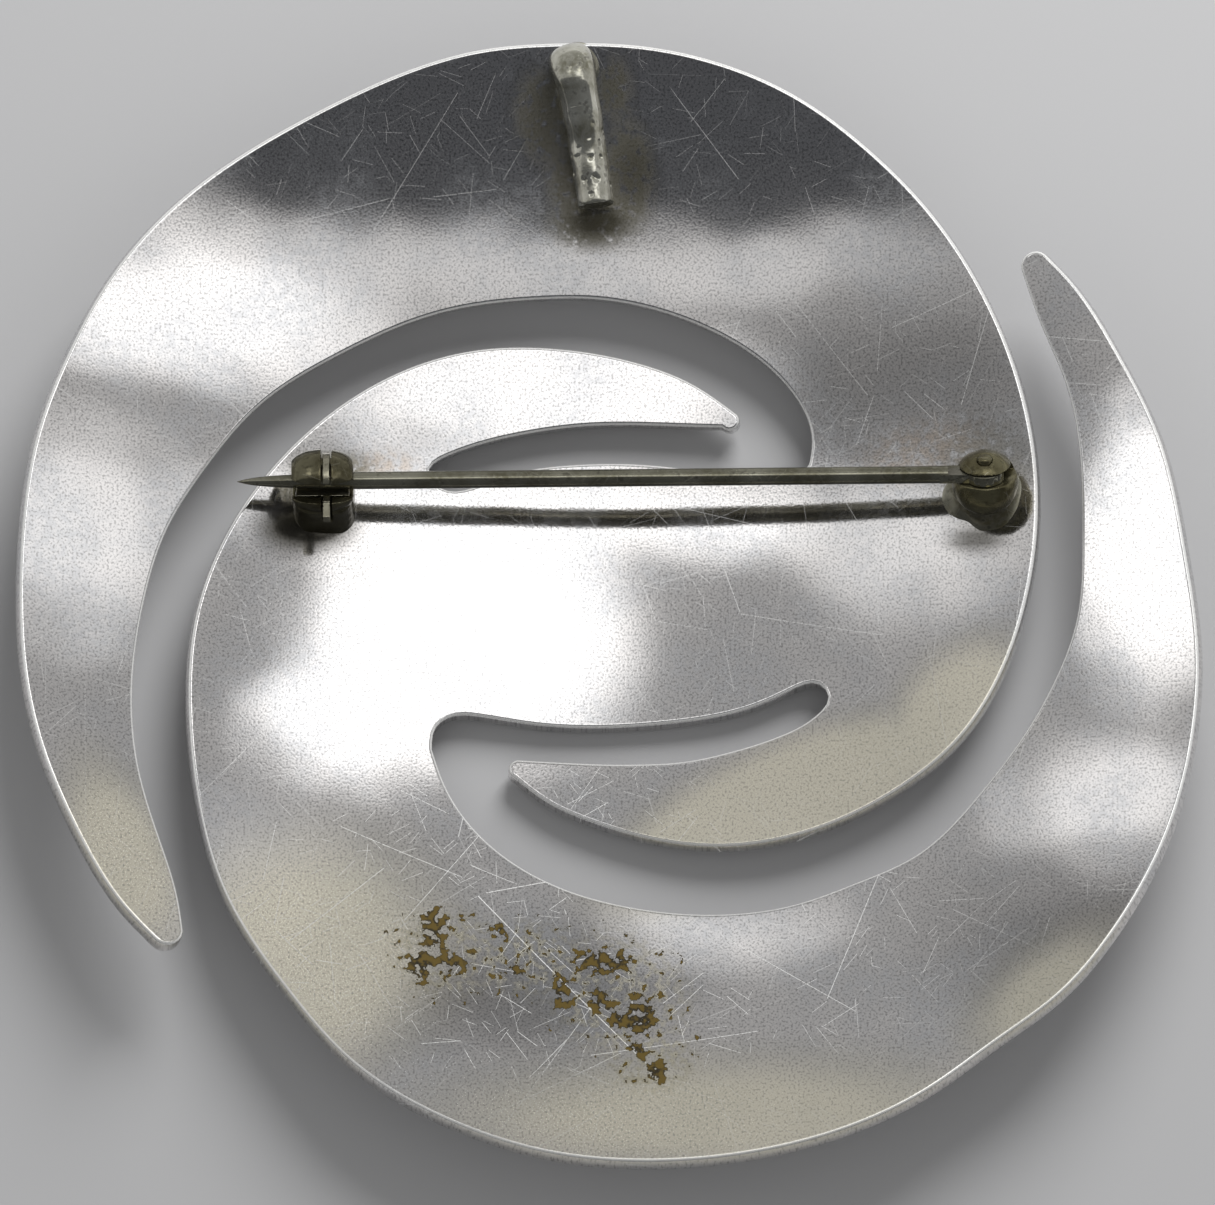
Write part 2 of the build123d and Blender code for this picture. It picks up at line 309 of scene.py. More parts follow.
def cut_block(piece: Piece, place: Matrix, shift: Sequence[float], size: Sequence[float]) -> None:
    """Cuts a box out of a piece.

    Args:
        piece: The mesh piece.
        place: The frame that the box is placed in.
        shift: The box's middle in that frame.
        size: Its three sides.
    """
    combine(piece, block("cut", place @ Matrix.Translation(shift), size), "DIFFERENCE")


def face_outwards() -> None:
    """Turns every face of the piece that is open in edit mode outwards."""
    bpy.ops.mesh.select_all(action="SELECT")
    bpy.ops.mesh.normals_make_consistent(inside=False)


def turned(name: str, place: Matrix, profile: Sequence[Pair], steps: int) -> Piece:
    """Spins a profile round its frame's Z axis into a closed form.

    Args:
        name: The object's name.
        place: The axis and its origin.
        profile: Rows of height along the axis and radius, from end to end.
        steps: How many steps the full turn has.

    Returns:
        The turned piece.
    """
    mesh = bpy.data.meshes.new(name)
    points = [Vector((radius, 0, height)) for height, radius in profile]
    mesh.from_pydata(points, [(at, at + 1) for at in range(len(points) - 1)], [])
    piece = bpy.data.objects.new(name, mesh)
    bpy.context.scene.collection.objects.link(piece)
    with editing(piece):
        bpy.ops.mesh.spin(steps=steps, angle=math.tau, center=(0, 0, 0), axis=(0, 0, 1))
        bpy.ops.mesh.select_all(action="SELECT")
        bpy.ops.mesh.remove_doubles(threshold=WELD)
        face_outwards()
    mesh.transform(place)
    return piece


def quarter_turn(steps: int) -> np.ndarray:
    """Gives the angles in radians from 0 to a right angle, in even steps."""
    return np.linspace(0, math.pi / 2, steps + 1)


def bevel_edges(piece: Piece, width: float, segments: int) -> None:
    """Bevels the sharp edges of a piece in a number of segments."""
    limit = math.radians(SHARP_FROM)
    apply_modifier(piece, "BEVEL", width=width, segments=segments, limit_method="ANGLE", angle_limit=limit)


def soft_casting(piece: Piece, grain: float, rounds: int, lumps: float) -> None:
    """Remeshes a rough form finely, rounds its edges and makes it a little uneven.

    Args:
        piece: The mesh piece.
        grain: The side of the remeshed faces.
        rounds: How many times its edges are smoothed.
        lumps: How far the casting is uneven.
    """
    apply_modifier(piece, "REMESH", mode="VOXEL", voxel_size=grain)
    apply_modifier(piece, "SMOOTH", factor=0.5, iterations=rounds)
    shift_vertices(piece, lambda place, normal: place + normal * lumps * noise.noise(place * LUMP_WAVES))


def finish_piece(piece: Piece, body: Body, node: str, finish: "Finish") -> Piece:
    """Brings a finished shape to metres, dresses it and hands it to its body.

    Args:
        piece: The mesh piece, in millimetres.
        body: The body that it rides on.
        node: The CAD node that it stands for.
        finish: The finish that it wears.

    Returns:
        The piece.
    """
    make_active(piece)
    piece.data.transform(Matrix.Scale(MM, 4))
    bpy.ops.object.shade_smooth_by_angle(angle=math.radians(SMOOTH_BELOW))
    piece.data.materials.clear()
    piece.data.materials.append(finish.material())
    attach(piece, body.value)
    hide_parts(node)
    LOG.info("%s: %d faces", piece.name, len(piece.data.polygons))
    return piece


class NodeSheet:
    """Puts nodes on one node tree and joins them."""

    def __init__(self, tree: bpy.types.NodeTree) -> None:
        """Starts on a tree, which is kept as it is."""
        self.tree = tree

    def fill(self, node: bpy.types.Node, values: dict) -> bpy.types.Node:
        """Gives a node's inputs their constants and sockets, and returns the node."""
        for name, value in values.items():
            if isinstance(value, Socket):
                self.tree.links.new(value, node.inputs[name])
            else:
                node.inputs[name].default_value = value
        return node

    def put(self, kind: str, values: dict | None = None, **settings: object) -> bpy.types.Node:
        """Adds a node.

        Args:
            kind: The node's type, without its first word.
            values: A constant or a socket for each input, by the input's name or number.
            settings: The node's own settings.

        Returns:
            The node.
        """
        node = self.tree.nodes.new("ShaderNode" + kind)
        for name, value in settings.items():
            setattr(node, name, value)
        return self.fill(node, values or {})

    def effect(self, kind: Effect, values: dict) -> Socket:
        """Places a shared node group with values of its own and returns its mask."""
        node = self.tree.nodes.new("ShaderNodeGroup")
        node.node_tree = effect_group(kind)
        return self.fill(node, values).outputs["Mask"]

    def math(self, operation: str, *terms: float | Socket) -> Socket:
        """Adds a math node on one to three terms and returns its result."""
        return self.put("Math", dict(enumerate(terms)), operation=operation).outputs[0]

    def times(self, one: float | Socket, other: float | Socket) -> Socket:
        """Multiplies two values."""
        return self.math("MULTIPLY", one, other)

    def vector(self, operation: str, *terms: object) -> Socket:
        """Adds a vector math node and returns its vector."""
        return self.put("VectorMath", dict(enumerate(terms)), operation=operation).outputs[0]

    def measure(self, operation: str, *terms: object) -> Socket:
        """Adds a vector math node and returns its number."""
        return self.put("VectorMath", dict(enumerate(terms)), operation=operation).outputs["Value"]

    def fade(self, value: Socket, low: float | Socket, high: float | Socket) -> Socket:
        """Turns a value smoothly from 0 at low to 1 at high."""
        ends = {"Value": value, "From Min": low, "From Max": high}
        return self.put("MapRange", ends, interpolation_type="SMOOTHSTEP").outputs["Result"]

    def mix(self, share: float | Socket, under: object, over: object) -> Socket:
        """Mixes two colours.

        Args:
            share: How much of the second one shows.
            under: The first colour.
            over: The second colour.

        Returns:
            The mixed colour.
        """
        colours = {6: self.colour(under), 7: self.colour(over), 0: share}
        return self.put("Mix", colours, data_type="RGBA").outputs[2]

    @staticmethod
    def colour(value: object) -> object:
        """Gives a colour its alpha, and passes a socket on."""
        return value if isinstance(value, Socket) else (*value, 1.0)

    def noise(
        self, place: Socket, scale: float, detail: float = 2.0, offset: float = 0.0, flat: bool = False
    ) -> Socket:
        """Adds a noise texture.

        Args:
            place: The point that is looked up, in millimetres.
            scale: Waves to the millimetre.
            detail: How many finer octaves it has.
            offset: Moves the pattern, so that no two are alike.
            flat: Whether it varies across and along alone, which is quicker.

        Returns:
            The noise, about 0.5.
        """
        moved = self.vector("ADD", place, (offset, offset * 0.7, 0)) if offset else place
        values = {"Vector": moved, "Scale": scale, "Detail": detail}
        sort = "2D" if flat else "3D"
        return self.put("TexNoise", values, noise_dimensions=sort).outputs["Fac"]


class GroupMaker:
    """Builds the shared node groups, each once."""

    def __init__(self, kind: Effect, inputs: dict[str, object], outputs: Sequence[str]) -> None:
        """Opens a new group.

        Args:
            kind: Which effect it is.
            inputs: The default of each input by name: a number, or a vector for three numbers.
            outputs: The names of its values that come out.
        """
        self.tree = bpy.data.node_groups.new(kind.value, "ShaderNodeTree")
        for name, default in inputs.items():
            sort = "NodeSocketFloat" if isinstance(default, float) else "NodeSocketVector"
            socket = self.tree.interface.new_socket(name=name, in_out="INPUT", socket_type=sort)
            socket.default_value = default
        for name in outputs:
            self.tree.interface.new_socket(name=name, in_out="OUTPUT", socket_type="NodeSocketFloat")
        self.sheet = NodeSheet(self.tree)
        self.inside = self.tree.nodes.new("NodeGroupInput").outputs
        self.out = self.tree.nodes.new("NodeGroupOutput").inputs

    def close(self, **results: Socket) -> bpy.types.NodeTree:
        """Joins the results to the group's outputs and returns the group."""
        for name, result in results.items():
            self.tree.links.new(result, self.out[name])
        return self.tree


def make_scratches(second_shift: float = 0.3, sure: float = 0.95) -> bpy.types.NodeTree:
    """Builds the group of short straight scratches in every direction, two to a cell at most.

    Args:
        second_shift: How far the second one is off the cell's point, in cells.
        sure: The cell's chance above which its scratch is whole.

    Returns:
        The group.
    """
    sizes = {"Vector": (0.0, 0.0, 0.0), "Scale": 1.0, "Width": 0.02, "Gaps": 0.4}
    group = GroupMaker(Effect.SCRATCHES, sizes, ("Mask",))
    sheet, inside = group.sheet, group.inside
    values = {"Vector": inside["Vector"], "Scale": inside["Scale"]}
    cells = sheet.put("TexVoronoi", values, voronoi_dimensions="2D").outputs
    chance = sheet.put("SeparateColor", {0: cells["Color"]}).outputs
    off = sheet.vector("SUBTRACT", inside["Vector"], cells["Position"])
    shift = sheet.math("DIVIDE", sheet.times(chance[0], second_shift), inside["Scale"])
    lines = []
    for first, second, there_by, aside in ((0, 1, 2, 0.0), (1, 2, 0, shift)):
        pair = sheet.put("CombineXYZ", {0: chance[first], 1: chance[second], 2: 0.5}).outputs[0]
        way = sheet.vector("NORMALIZE", sheet.vector("SUBTRACT", pair, (0.5, 0.5, 0.5)))
        line = sheet.math("COMPARE", sheet.measure("DOT_PRODUCT", off, way), aside, inside["Width"])
        lines.append(sheet.times(line, sheet.fade(chance[there_by], inside["Gaps"], sure)))
    return group.close(Mask=sheet.math("MAXIMUM", *lines))


def make_clouds(band: Pair = (0.35, 0.65)) -> bpy.types.NodeTree:
    """Builds the group of soft clouds of tarnish with a mottled middle.

    Args:
        band: Where the fine noise starts to lighten a cloud and where it stops.

    Returns:
        The group.
    """
    sizes = {"Broad": 0.5, "Fine": 0.5, "Cover": 0.5, "Soft": 0.15, "Mottle": 0.5}
    group = GroupMaker(Effect.CLOUDS, sizes, ("Mask",))
    sheet, inside = group.sheet, group.inside
    low = sheet.math("SUBTRACT", inside["Cover"], inside["Soft"])
    cloud = sheet.fade(inside["Broad"], low, sheet.math("ADD", inside["Cover"], inside["Soft"]))
    lighter = sheet.times(inside["Mottle"], sheet.fade(inside["Fine"], *band))
    return group.close(Mask=sheet.times(cloud, sheet.math("SUBTRACT", 1.0, lighter)))


GROUP_MAKERS = {
    Effect.SCRATCHES: make_scratches,
    Effect.CLOUDS: make_clouds,
}


def effect_group(kind: Effect) -> bpy.types.NodeTree:
    """Gives a shared node group, which is built the first time it is asked for."""
    return bpy.data.node_groups.get(kind.value) or GROUP_MAKERS[kind]()


@dataclass(frozen=True)
class Patch:
    """A patch of colour on the plate, placed in millimetres from its middle."""

    middle: Pair
    reach: Pair
    turn: float = 0.0
    soft: float = 0.3
    strength: float = 1.0

    def share(self, across: np.ndarray, along: np.ndarray) -> np.ndarray:
        """Says how much of the patch shows at some places.

        Args:
            across: The places' x.
            along: Their y.

        Returns:
            From 0 outside the patch to its strength inside.
        """
        near_x, near_y = across - self.middle[0], along - self.middle[1]
        cos, sin = math.cos(self.turn), math.sin(self.turn)
        along_turn, across_turn = near_x * cos + near_y * sin, near_y * cos - near_x * sin
        out = np.hypot(along_turn / self.reach[0], across_turn / self.reach[1])
        fade = np.clip((1 + self.soft - out) / (2 * self.soft), 0, 1)
        return self.strength * fade * fade * (3 - 2 * fade)


@dataclass(frozen=True)
class Scratch:
    """A long scratch on the plate, placed in millimetres from its middle."""

    middle: Pair
    turn: float
    length: float
    width: float = 0.03


@dataclass(frozen=True)
class Finish:
    """A finish with a name of its own."""

    name: str

    def material(self) -> bpy.types.Material:
        """Gives the finish's material, which is built the first time it is asked for."""
        made = bpy.data.materials.get(self.name)
        if made is not None:
            return made
        made = bpy.data.materials.new(self.name)
        made.use_nodes = True
        made.node_tree.nodes.clear()
        sheet = NodeSheet(made.node_tree)
        shader = sheet.put("BsdfPrincipled")
        end = sheet.put("OutputMaterial")
        made.node_tree.links.new(shader.outputs["BSDF"], end.inputs["Surface"])
        self.dress(sheet, shader)
        return made

    def place(self, sheet: NodeSheet) -> Socket:
        """Adds the piece's own coordinates, in millimetres."""
        return sheet.vector("MULTIPLY", sheet.put("TexCoord").outputs["Object"], (1 / MM,) * 3)

    def dress(self, sheet: NodeSheet, shader: bpy.types.Node) -> None:
        """Fills the material in. Each finish does this its own way."""
        raise NotImplementedError

    @staticmethod
    def relief(sheet: NodeSheet, height: Socket, depth: float) -> Socket:
        """Turns a height of about 1 into a bump of a depth in millimetres."""
        values = {"Height": sheet.times(height, depth * MM), "Strength": 1.0, "Distance": 1.0}
        return sheet.put("Bump", values).outputs[0]

    @staticmethod
    def join(sheet: NodeSheet, shader: bpy.types.Node, **results: Socket) -> None:
        """Joins results to the shader's inputs, with underscores for the spaces in their names."""
        sheet.fill(shader, {name.replace("_", " "): result for name, result in results.items()})


# Places on the plate in millimetres from its middle
GLUE_STAINS = (
    Patch((-9.4, -17.4), (0.7, 1.3)), Patch((-10.1, -19.6), (0.75, 1.0)), Patch((-8.4, -19.5), (1.1, 0.55)),
    Patch((-5.8, -17.7), (0.6, 0.35)), Patch((-5.1, -19.9), (0.7, 0.4)), Patch((-0.3, -19.3), (1.5, 0.8)),
    Patch((-2.5, -21.3), (0.6, 1.0)), Patch((-0.5, -21.6), (0.6, 0.75)), Patch((0.5, -22.7), (0.5, 0.7)),
    Patch((1.7, -22.6), (0.8, 1.3)), Patch((1.5, -24.5), (0.6, 0.5)), Patch((2.7, -25.8), (0.6, 0.7)),
)
GLUE_FILM = (
    Patch((-8.5, -19.0), (2.8, 2.4), 0.0, 0.4), Patch((-4.5, -19.2), (3.2, 2.0), 0.0, 0.4),
    Patch((0.5, -21.3), (3.8, 3.2), -0.6, 0.4), Patch((2.2, -25.0), (2.2, 2.0), 0.0, 0.4),
)
# Painted reflection: pale beige fields where the hollow face would mirror a lit wall
PAINTED_BEIGE_REFLECTIONS = (
    Patch((-16.0, -19.5), (7.5, 6.5), 0.6, 0.5), Patch((6.0, -28.6), (14.0, 3.4), 0.0, 0.6),
    Patch((9.0, -10.6), (10.5, 3.6), 0.45, 0.3), Patch((18.5, -5.7), (5.0, 3.2), 0.9, 0.4),
    Patch((-26.0, -14.0), (2.6, 5.5), 0.35, 0.5), Patch((23.5, -22.0), (5.0, 2.6), 0.7, 0.6),
)
# Olive solder stains round the hook and the hinge; some patches beside the hook and the catch are painted
# shade as well
SOLDER_STAINS_AND_SHADE = (
    Patch((-3.4, 27.4), (1.7, 2.6), 0.1, 0.35), Patch((1.0, 24.3), (1.5, 3.2), 0.0, 0.35),
    Patch((-0.9, 22.0), (2.4, 1.5), 0.0, 0.4), Patch((0.3, 28.9), (1.0, 1.7), 0.0, 0.4),
    Patch((-2.2, 24.0), (1.2, 1.8), 0.0, 0.4), Patch((-14.9, 8.4), (2.1, 0.9), 0.0, 0.4),
    Patch((20.3, 7.6), (2.4, 2.6), 0.0, 0.6, 0.7),
)
# Painted shade and painted dark reflections: dark patches under and beside the hook's end, beside the catch
# and under the hinge
PAINTED_SHADE_PATCHES = (
    Patch((-0.6, 21.9), (1.4, 0.8), 0.0, 0.5, 0.95), Patch((-1.7, 25.8), (0.9, 2.4), 0.05, 0.6, 0.5),
    Patch((1.5, 24.4), (1.1, 1.6), 0.0, 0.6, 0.5), Patch((-16.2, 5.2), (2.7, 1.5), 0.15, 0.45),
    Patch((19.7, 4.2), (1.5, 0.7), 0.0, 0.6, 0.8),
)
WARM_STAINS = (
    Patch((16.9, 9.3), (3.2, 1.5), 0.2, 0.6), Patch((-12.0, 8.6), (1.6, 0.8), 0.0, 0.5),
)
LONG_SCRATCHES = (
    Scratch((-2.2, -20.6), -0.83, 14.0, 0.05), Scratch((-16.0, 21.5), 0.28, 9.0),
    Scratch((9.5, -20.0), -0.58, 8.5), Scratch((-8.5, -14.0), 0.9, 7.5),
    Scratch((-11.0, -13.0), -0.4, 7.0), Scratch((3.5, -24.0), 0.15, 9.0),
)
WORN_FIELDS = (
    Patch((0.0, 0.0), (60.0, 60.0), 0.0, 0.3, 0.6), Patch((-2.0, -17.5), (24.0, 11.0), 0.0, 0.4, 1.0),
    Patch((4.0, 2.0), (22.0, 6.0), 0.0, 0.4, 0.6), Patch((-22.0, 14.0), (10.0, 6.0), 0.5, 0.4, 0.6),
    Patch((13.0, 19.0), (8.0, 5.0), -0.6, 0.4, 0.6),
)

# The painted masks by name: the stains, the painted shade and the painted beige reflection. They lie on the
# hollow face alone
STAINS = {
    "beige_reflection": PAINTED_BEIGE_REFLECTIONS, "olive_stain_and_shade": SOLDER_STAINS_AND_SHADE, "painted_shade": PAINTED_SHADE_PATCHES, "warm": WARM_STAINS, "glue": GLUE_STAINS,
    "film": GLUE_FILM,
}


@dataclass(frozen=True)
class Layer:
    """A layer of the plate's finish, which covers by a share and dulls the metal where it is thick."""

    mask: str
    cover: float
    colour: Colour
    dull: float = 0.0


@dataclass(frozen=True)
class PlateSilver(Finish):
    """Worn sterling sheet with fine scratches, pale tarnish and stains, and painted shade, reflection and rim
    highlight.

    A row of scratches is the cells to the millimetre, the width in millimetres and the chance below which a
    cell is clean. A torn row is a painted mask and the band of ragged noise that tears its edge.
    """

    bright: Colour = (0.84, 0.815, 0.80)
    flake: Colour = (0.105, 0.07, 0.012)
    flake_edge: Colour = (0.018, 0.014, 0.005)
    roughness: float = 0.08
    layers: tuple[Layer, ...] = (
        Layer("clouds", 0.6, (0.57, 0.585, 0.61), 0.15),
        Layer("grain", 0.45, (0.50, 0.50, 0.505)),
        # Painted reflection of a lit wall, in beige
        Layer("beige_reflection", 0.7, (0.68, 0.635, 0.48), 0.5),
        Layer("lines", 0.8, (0.92, 0.92, 0.90), 0.9),
        Layer("warm", 0.4, (0.42, 0.27, 0.13), 0.4),
        Layer("film", 0.5, (0.40, 0.36, 0.20), 0.9),
        Layer("specks", 0.45, (0.22, 0.21, 0.20)),
        # Olive solder stains, partly painted shade beside the hook and the catch
        Layer("olive_stain_and_shade", 0.8, (0.085, 0.075, 0.03), 0.4),
        # Painted shade and dark reflections under the fittings
        Layer("painted_shade", 0.92, (0.035, 0.031, 0.018), 0.2),
        # A paler, rougher top edge: partly a rubbed edge, partly a painted highlight
        Layer("rim", 0.8, (0.92, 0.92, 0.90), 0.9),
    )
    scratches: tuple[tuple[float, float, float], ...] = (
        (1.1, 0.010, 0.30), (0.42, 0.014, 0.15), (0.15, 0.020, 0.15),
    )
    torn: tuple[tuple[str, Pair], ...] = (("olive_stain_and_shade", (0.2, 0.5)), ("warm", (0.2, 0.7)), ("film", (0.4, 0.6)))
    broad_scale: float = 0.16
    fine_scale: float = 8.0
    ragged_scale: float = 2.0
    ragged_offset: float = 17.0
    cloud_cover: float = 0.5
    beige_calm: float = 0.25
    grain_band: Pair = (0.35, 0.65)
    speck_band: Pair = (0.60, 0.70)
    glue_body: float = 0.8
    glue_uneven: float = 3.4
    glue_veil: float = 0.2
    glue_end: float = 0.05
    flake_band: Pair = (0.68, 0.72)
    inside_band: Pair = (0.70, 0.95)
    inside_torn: Pair = (0.45, 0.62)
    flake_dull: float = 0.95
    dull_roughness: float = 0.45
    grain_depth: float = 0.0008

    @staticmethod
    def painted(sheet: NodeSheet, name: str) -> Socket:
        """Reads a mask that is painted on the piece's own mesh."""
        return sheet.put("Attribute", attribute_name=name).outputs["Fac"]

    @staticmethod
    def long_scratches(sheet: NodeSheet, place: Socket) -> Socket:
        """Joins the long scratches into one mask."""
        total = 0.0
        for row in LONG_SCRATCHES:
            along_way = Vector((math.cos(row.turn), math.sin(row.turn)))
            across_way = along_way.orthogonal()
            middle = Vector(row.middle)
            lengthwise = sheet.measure("DOT_PRODUCT", place, (*along_way, 0.0))
            sideways = sheet.measure("DOT_PRODUCT", place, (*across_way, 0.0))
            line = sheet.math("COMPARE", sideways, middle.dot(across_way), row.width / 2)
            run = sheet.math("COMPARE", lengthwise, middle.dot(along_way), row.length / 2)
            total = sheet.math("MAXIMUM", total, sheet.times(line, run))
        return total

    def flakes(self, sheet: NodeSheet, ragged: Socket) -> tuple[Socket, Socket]:
        """Breaks the dried glue into flakes: gives their mask, and the mask of their paler insides."""
        veil = self.painted(sheet, "film")
        uneven = sheet.times(sheet.math("SUBTRACT", ragged, 0.5), self.glue_uneven)
        body = sheet.math("MULTIPLY_ADD", self.painted(sheet, "glue"), self.glue_body, uneven)
        glue = sheet.math("ADD", body, sheet.times(veil, self.glue_veil))
        glue = sheet.times(glue, sheet.math("GREATER_THAN", veil, self.glue_end))
        inside = sheet.times(sheet.fade(glue, *self.inside_band), sheet.fade(ragged, *self.inside_torn))
        return sheet.fade(glue, *self.flake_band), inside

    def dress(self, sheet: NodeSheet, shader: bpy.types.Node) -> None:
        """Layers the tarnish, the stains, the painted shade, reflection and rim highlight, and the scratches.
        """
        place = self.place(sheet)
        lines = self.long_scratches(sheet, place)
        for scale, width, gaps in self.scratches:
            sizes = {"Vector": place, "Scale": scale, "Width": width, "Gaps": gaps}
            lines = sheet.math("MAXIMUM", lines, sheet.effect(Effect.SCRATCHES, sizes))
        broad = sheet.noise(place, self.broad_scale, flat=True)
        fine = sheet.noise(place, self.fine_scale, detail=1.0, flat=True)
        ragged = sheet.noise(place, self.ragged_scale, detail=3.0, offset=self.ragged_offset, flat=True)
        masks = {name: self.painted(sheet, name) for name in ("beige_reflection", "painted_shade", "rim")}
        for name, band in self.torn:
            masks[name] = sheet.times(self.painted(sheet, name), sheet.fade(ragged, *band))
        worn = sheet.math("MULTIPLY_ADD", masks["beige_reflection"], -self.beige_calm, self.painted(sheet, "worn"))
        masks["lines"] = sheet.times(lines, worn)
        cloud_values = {"Broad": broad, "Fine": ragged, "Cover": self.cloud_cover}
        masks["clouds"] = sheet.effect(Effect.CLOUDS, cloud_values)
        masks["grain"] = sheet.fade(fine, *self.grain_band)
        masks["specks"] = sheet.fade(fine, *self.speck_band)

        colour, dulled = self.bright, 0.0
        for layer in self.layers:
            share = sheet.times(masks[layer.mask], layer.cover)
            colour = sheet.mix(share, colour, layer.colour)
            if layer.dull:
                dulled = sheet.math("MAXIMUM", dulled, sheet.times(sheet.times(share, share), layer.dull))
        flakes, inside = self.flakes(sheet, ragged)
        colour = sheet.mix(flakes, colour, sheet.mix(inside, self.flake_edge, self.flake))
        dulled = sheet.math("MAXIMUM", dulled, sheet.times(flakes, self.flake_dull))

        rough = sheet.math("MULTIPLY_ADD", dulled, self.dull_roughness, self.roughness)
        metal = sheet.math("SUBTRACT", 1.0, dulled)
        bump = self.relief(sheet, fine, self.grain_depth)
        self.join(sheet, shader, Base_Color=colour, Metallic=metal, Roughness=rough, Normal=bump)


@dataclass(frozen=True)
class TarnishedMetal(Finish):
    """Old nickel silver or wire, dull and darker in its clouds of tarnish."""

    bright: Colour
    dull: Colour
    roughness: float
    cover: float = 0.5
    cloud_scale: float = 0.5
    nicks: float = 0.5
    dark: Colour = (0.035, 0.028, 0.014)
    nick: Colour = (0.60, 0.58, 0.48)
    fine_scale: float = 3.0
    hair_scale: float = 1.6
    hair_width: float = 0.01
    hair_gaps: float = 0.6
    dark_band: Pair = (0.55, 0.72)
    dark_share: float = 0.5
    dull_roughness: float = 0.12
    depth: float = 0.005
    metallic: float = 0.92

    def dress(self, sheet: NodeSheet, shader: bpy.types.Node) -> None:
        """Layers the tarnish and the small scratches."""
        place = self.place(sheet)
        broad = sheet.noise(place, self.cloud_scale)
        fine = sheet.noise(place, self.fine_scale, detail=3.0)
        clouds = sheet.effect(Effect.CLOUDS, {"Broad": broad, "Fine": fine, "Cover": self.cover})
        sizes = {"Vector": place, "Scale": self.hair_scale, "Width": self.hair_width, "Gaps": self.hair_gaps}
        hair = sheet.effect(Effect.SCRATCHES, sizes)
        colour = sheet.mix(clouds, self.bright, self.dull)
        dark = sheet.times(sheet.fade(fine, *self.dark_band), self.dark_share)
        colour = sheet.mix(sheet.times(hair, self.nicks), sheet.mix(dark, colour, self.dark), self.nick)
        rough = sheet.math("ADD", self.roughness, sheet.times(clouds, self.dull_roughness))
        bump = self.relief(sheet, sheet.math("SUBTRACT", fine, hair), self.depth)
        self.join(sheet, shader, Base_Color=colour, Metallic=self.metallic, Roughness=rough, Normal=bump)


HOOK_METAL = TarnishedMetal("hook_metal", (0.78, 0.77, 0.68), (0.30, 0.29, 0.22), 0.09, nicks=0.2)
SOLDER_METAL = TarnishedMetal("solder", (0.34, 0.33, 0.27), (0.16, 0.145, 0.09), 0.25)
CATCH_METAL = TarnishedMetal("catch_metal", (0.20, 0.185, 0.12), (0.09, 0.08, 0.045), 0.13, cloud_scale=0.7)
HINGE_METAL = TarnishedMetal("hinge_metal", (0.24, 0.22, 0.13), (0.12, 0.105, 0.055), 0.2, cloud_scale=0.7)
PIN_METAL = TarnishedMetal("pin_metal", (0.36, 0.35, 0.28), (0.17, 0.16, 0.11), 0.08, cloud_scale=0.35)
SLEEVE_METAL = TarnishedMetal("sleeve_metal", (0.40, 0.38, 0.29), (0.22, 0.20, 0.14), 0.2, cover=0.6)


def smooth_run(points: Sequence[Pair], step: float) -> list[Pair]:
    """Follows the smooth curve through some points.

    Args:
        points: The points in millimetres.
        step: The distance between the points that come back.

    Returns:
        Points on the curve, from the first up to but without the last.
    """
    place = np.array(points)
    span = np.hypot(*np.diff(place, axis=0).T)
    reach = np.concatenate(([0.0], np.cumsum(span)))
    count = len(place)
    rows = np.eye(count)
    right = np.zeros_like(place)
    for at in range(1, count - 1):
        rows[at, at - 1:at + 2] = (span[at - 1], 2 * (span[at - 1] + span[at]), span[at])
        right[at] = 6 * ((place[at + 1] - place[at]) / span[at] - (place[at] - place[at - 1]) / span[at - 1])
    bend = np.linalg.solve(rows, right)
    found = []
    for value in np.linspace(0, reach[-1], max(2, round(reach[-1] / step)), endpoint=False):
        at = min(int(np.searchsorted(reach, value, side="right")) - 1, count - 2)
        low = (reach[at + 1] - value) / span[at]
        high = 1 - low
        curve = ((low**3 - low) * bend[at] + (high**3 - high) * bend[at + 1]) * span[at] ** 2 / 6
        found.append(tuple(low * place[at] + high * place[at + 1] + curve))
    return found


def arc_run(points: Sequence[Pair], steps: int) -> list[Pair]:
    """Follows the arc through three points.

    Args:
        points: The three points in millimetres.
        steps: How many points come back.

    Returns:
        Points on the arc, from the first up to but without the last.
    """
    first, middle, last = (Vector(point) for point in points)
    rows = np.array([middle - first, last - first])
    squares = np.array([(point.length_squared - first.length_squared) / 2 for point in (middle, last)])
    centre = Vector(np.linalg.solve(rows, squares))
    start, through, end = (math.atan2(*(point - centre).yx) for point in (first, middle, last))
    while through < start:
        through += math.tau
    while end < through:
        end += math.tau
    if end - start > math.tau:
        start, end = start, end - 2 * math.tau
    radius = (first - centre).length
    angles = [start + (end - start) * at / steps for at in range(steps)]
    return [(centre.x + radius * math.cos(angle), centre.y + radius * math.sin(angle)) for angle in angles]


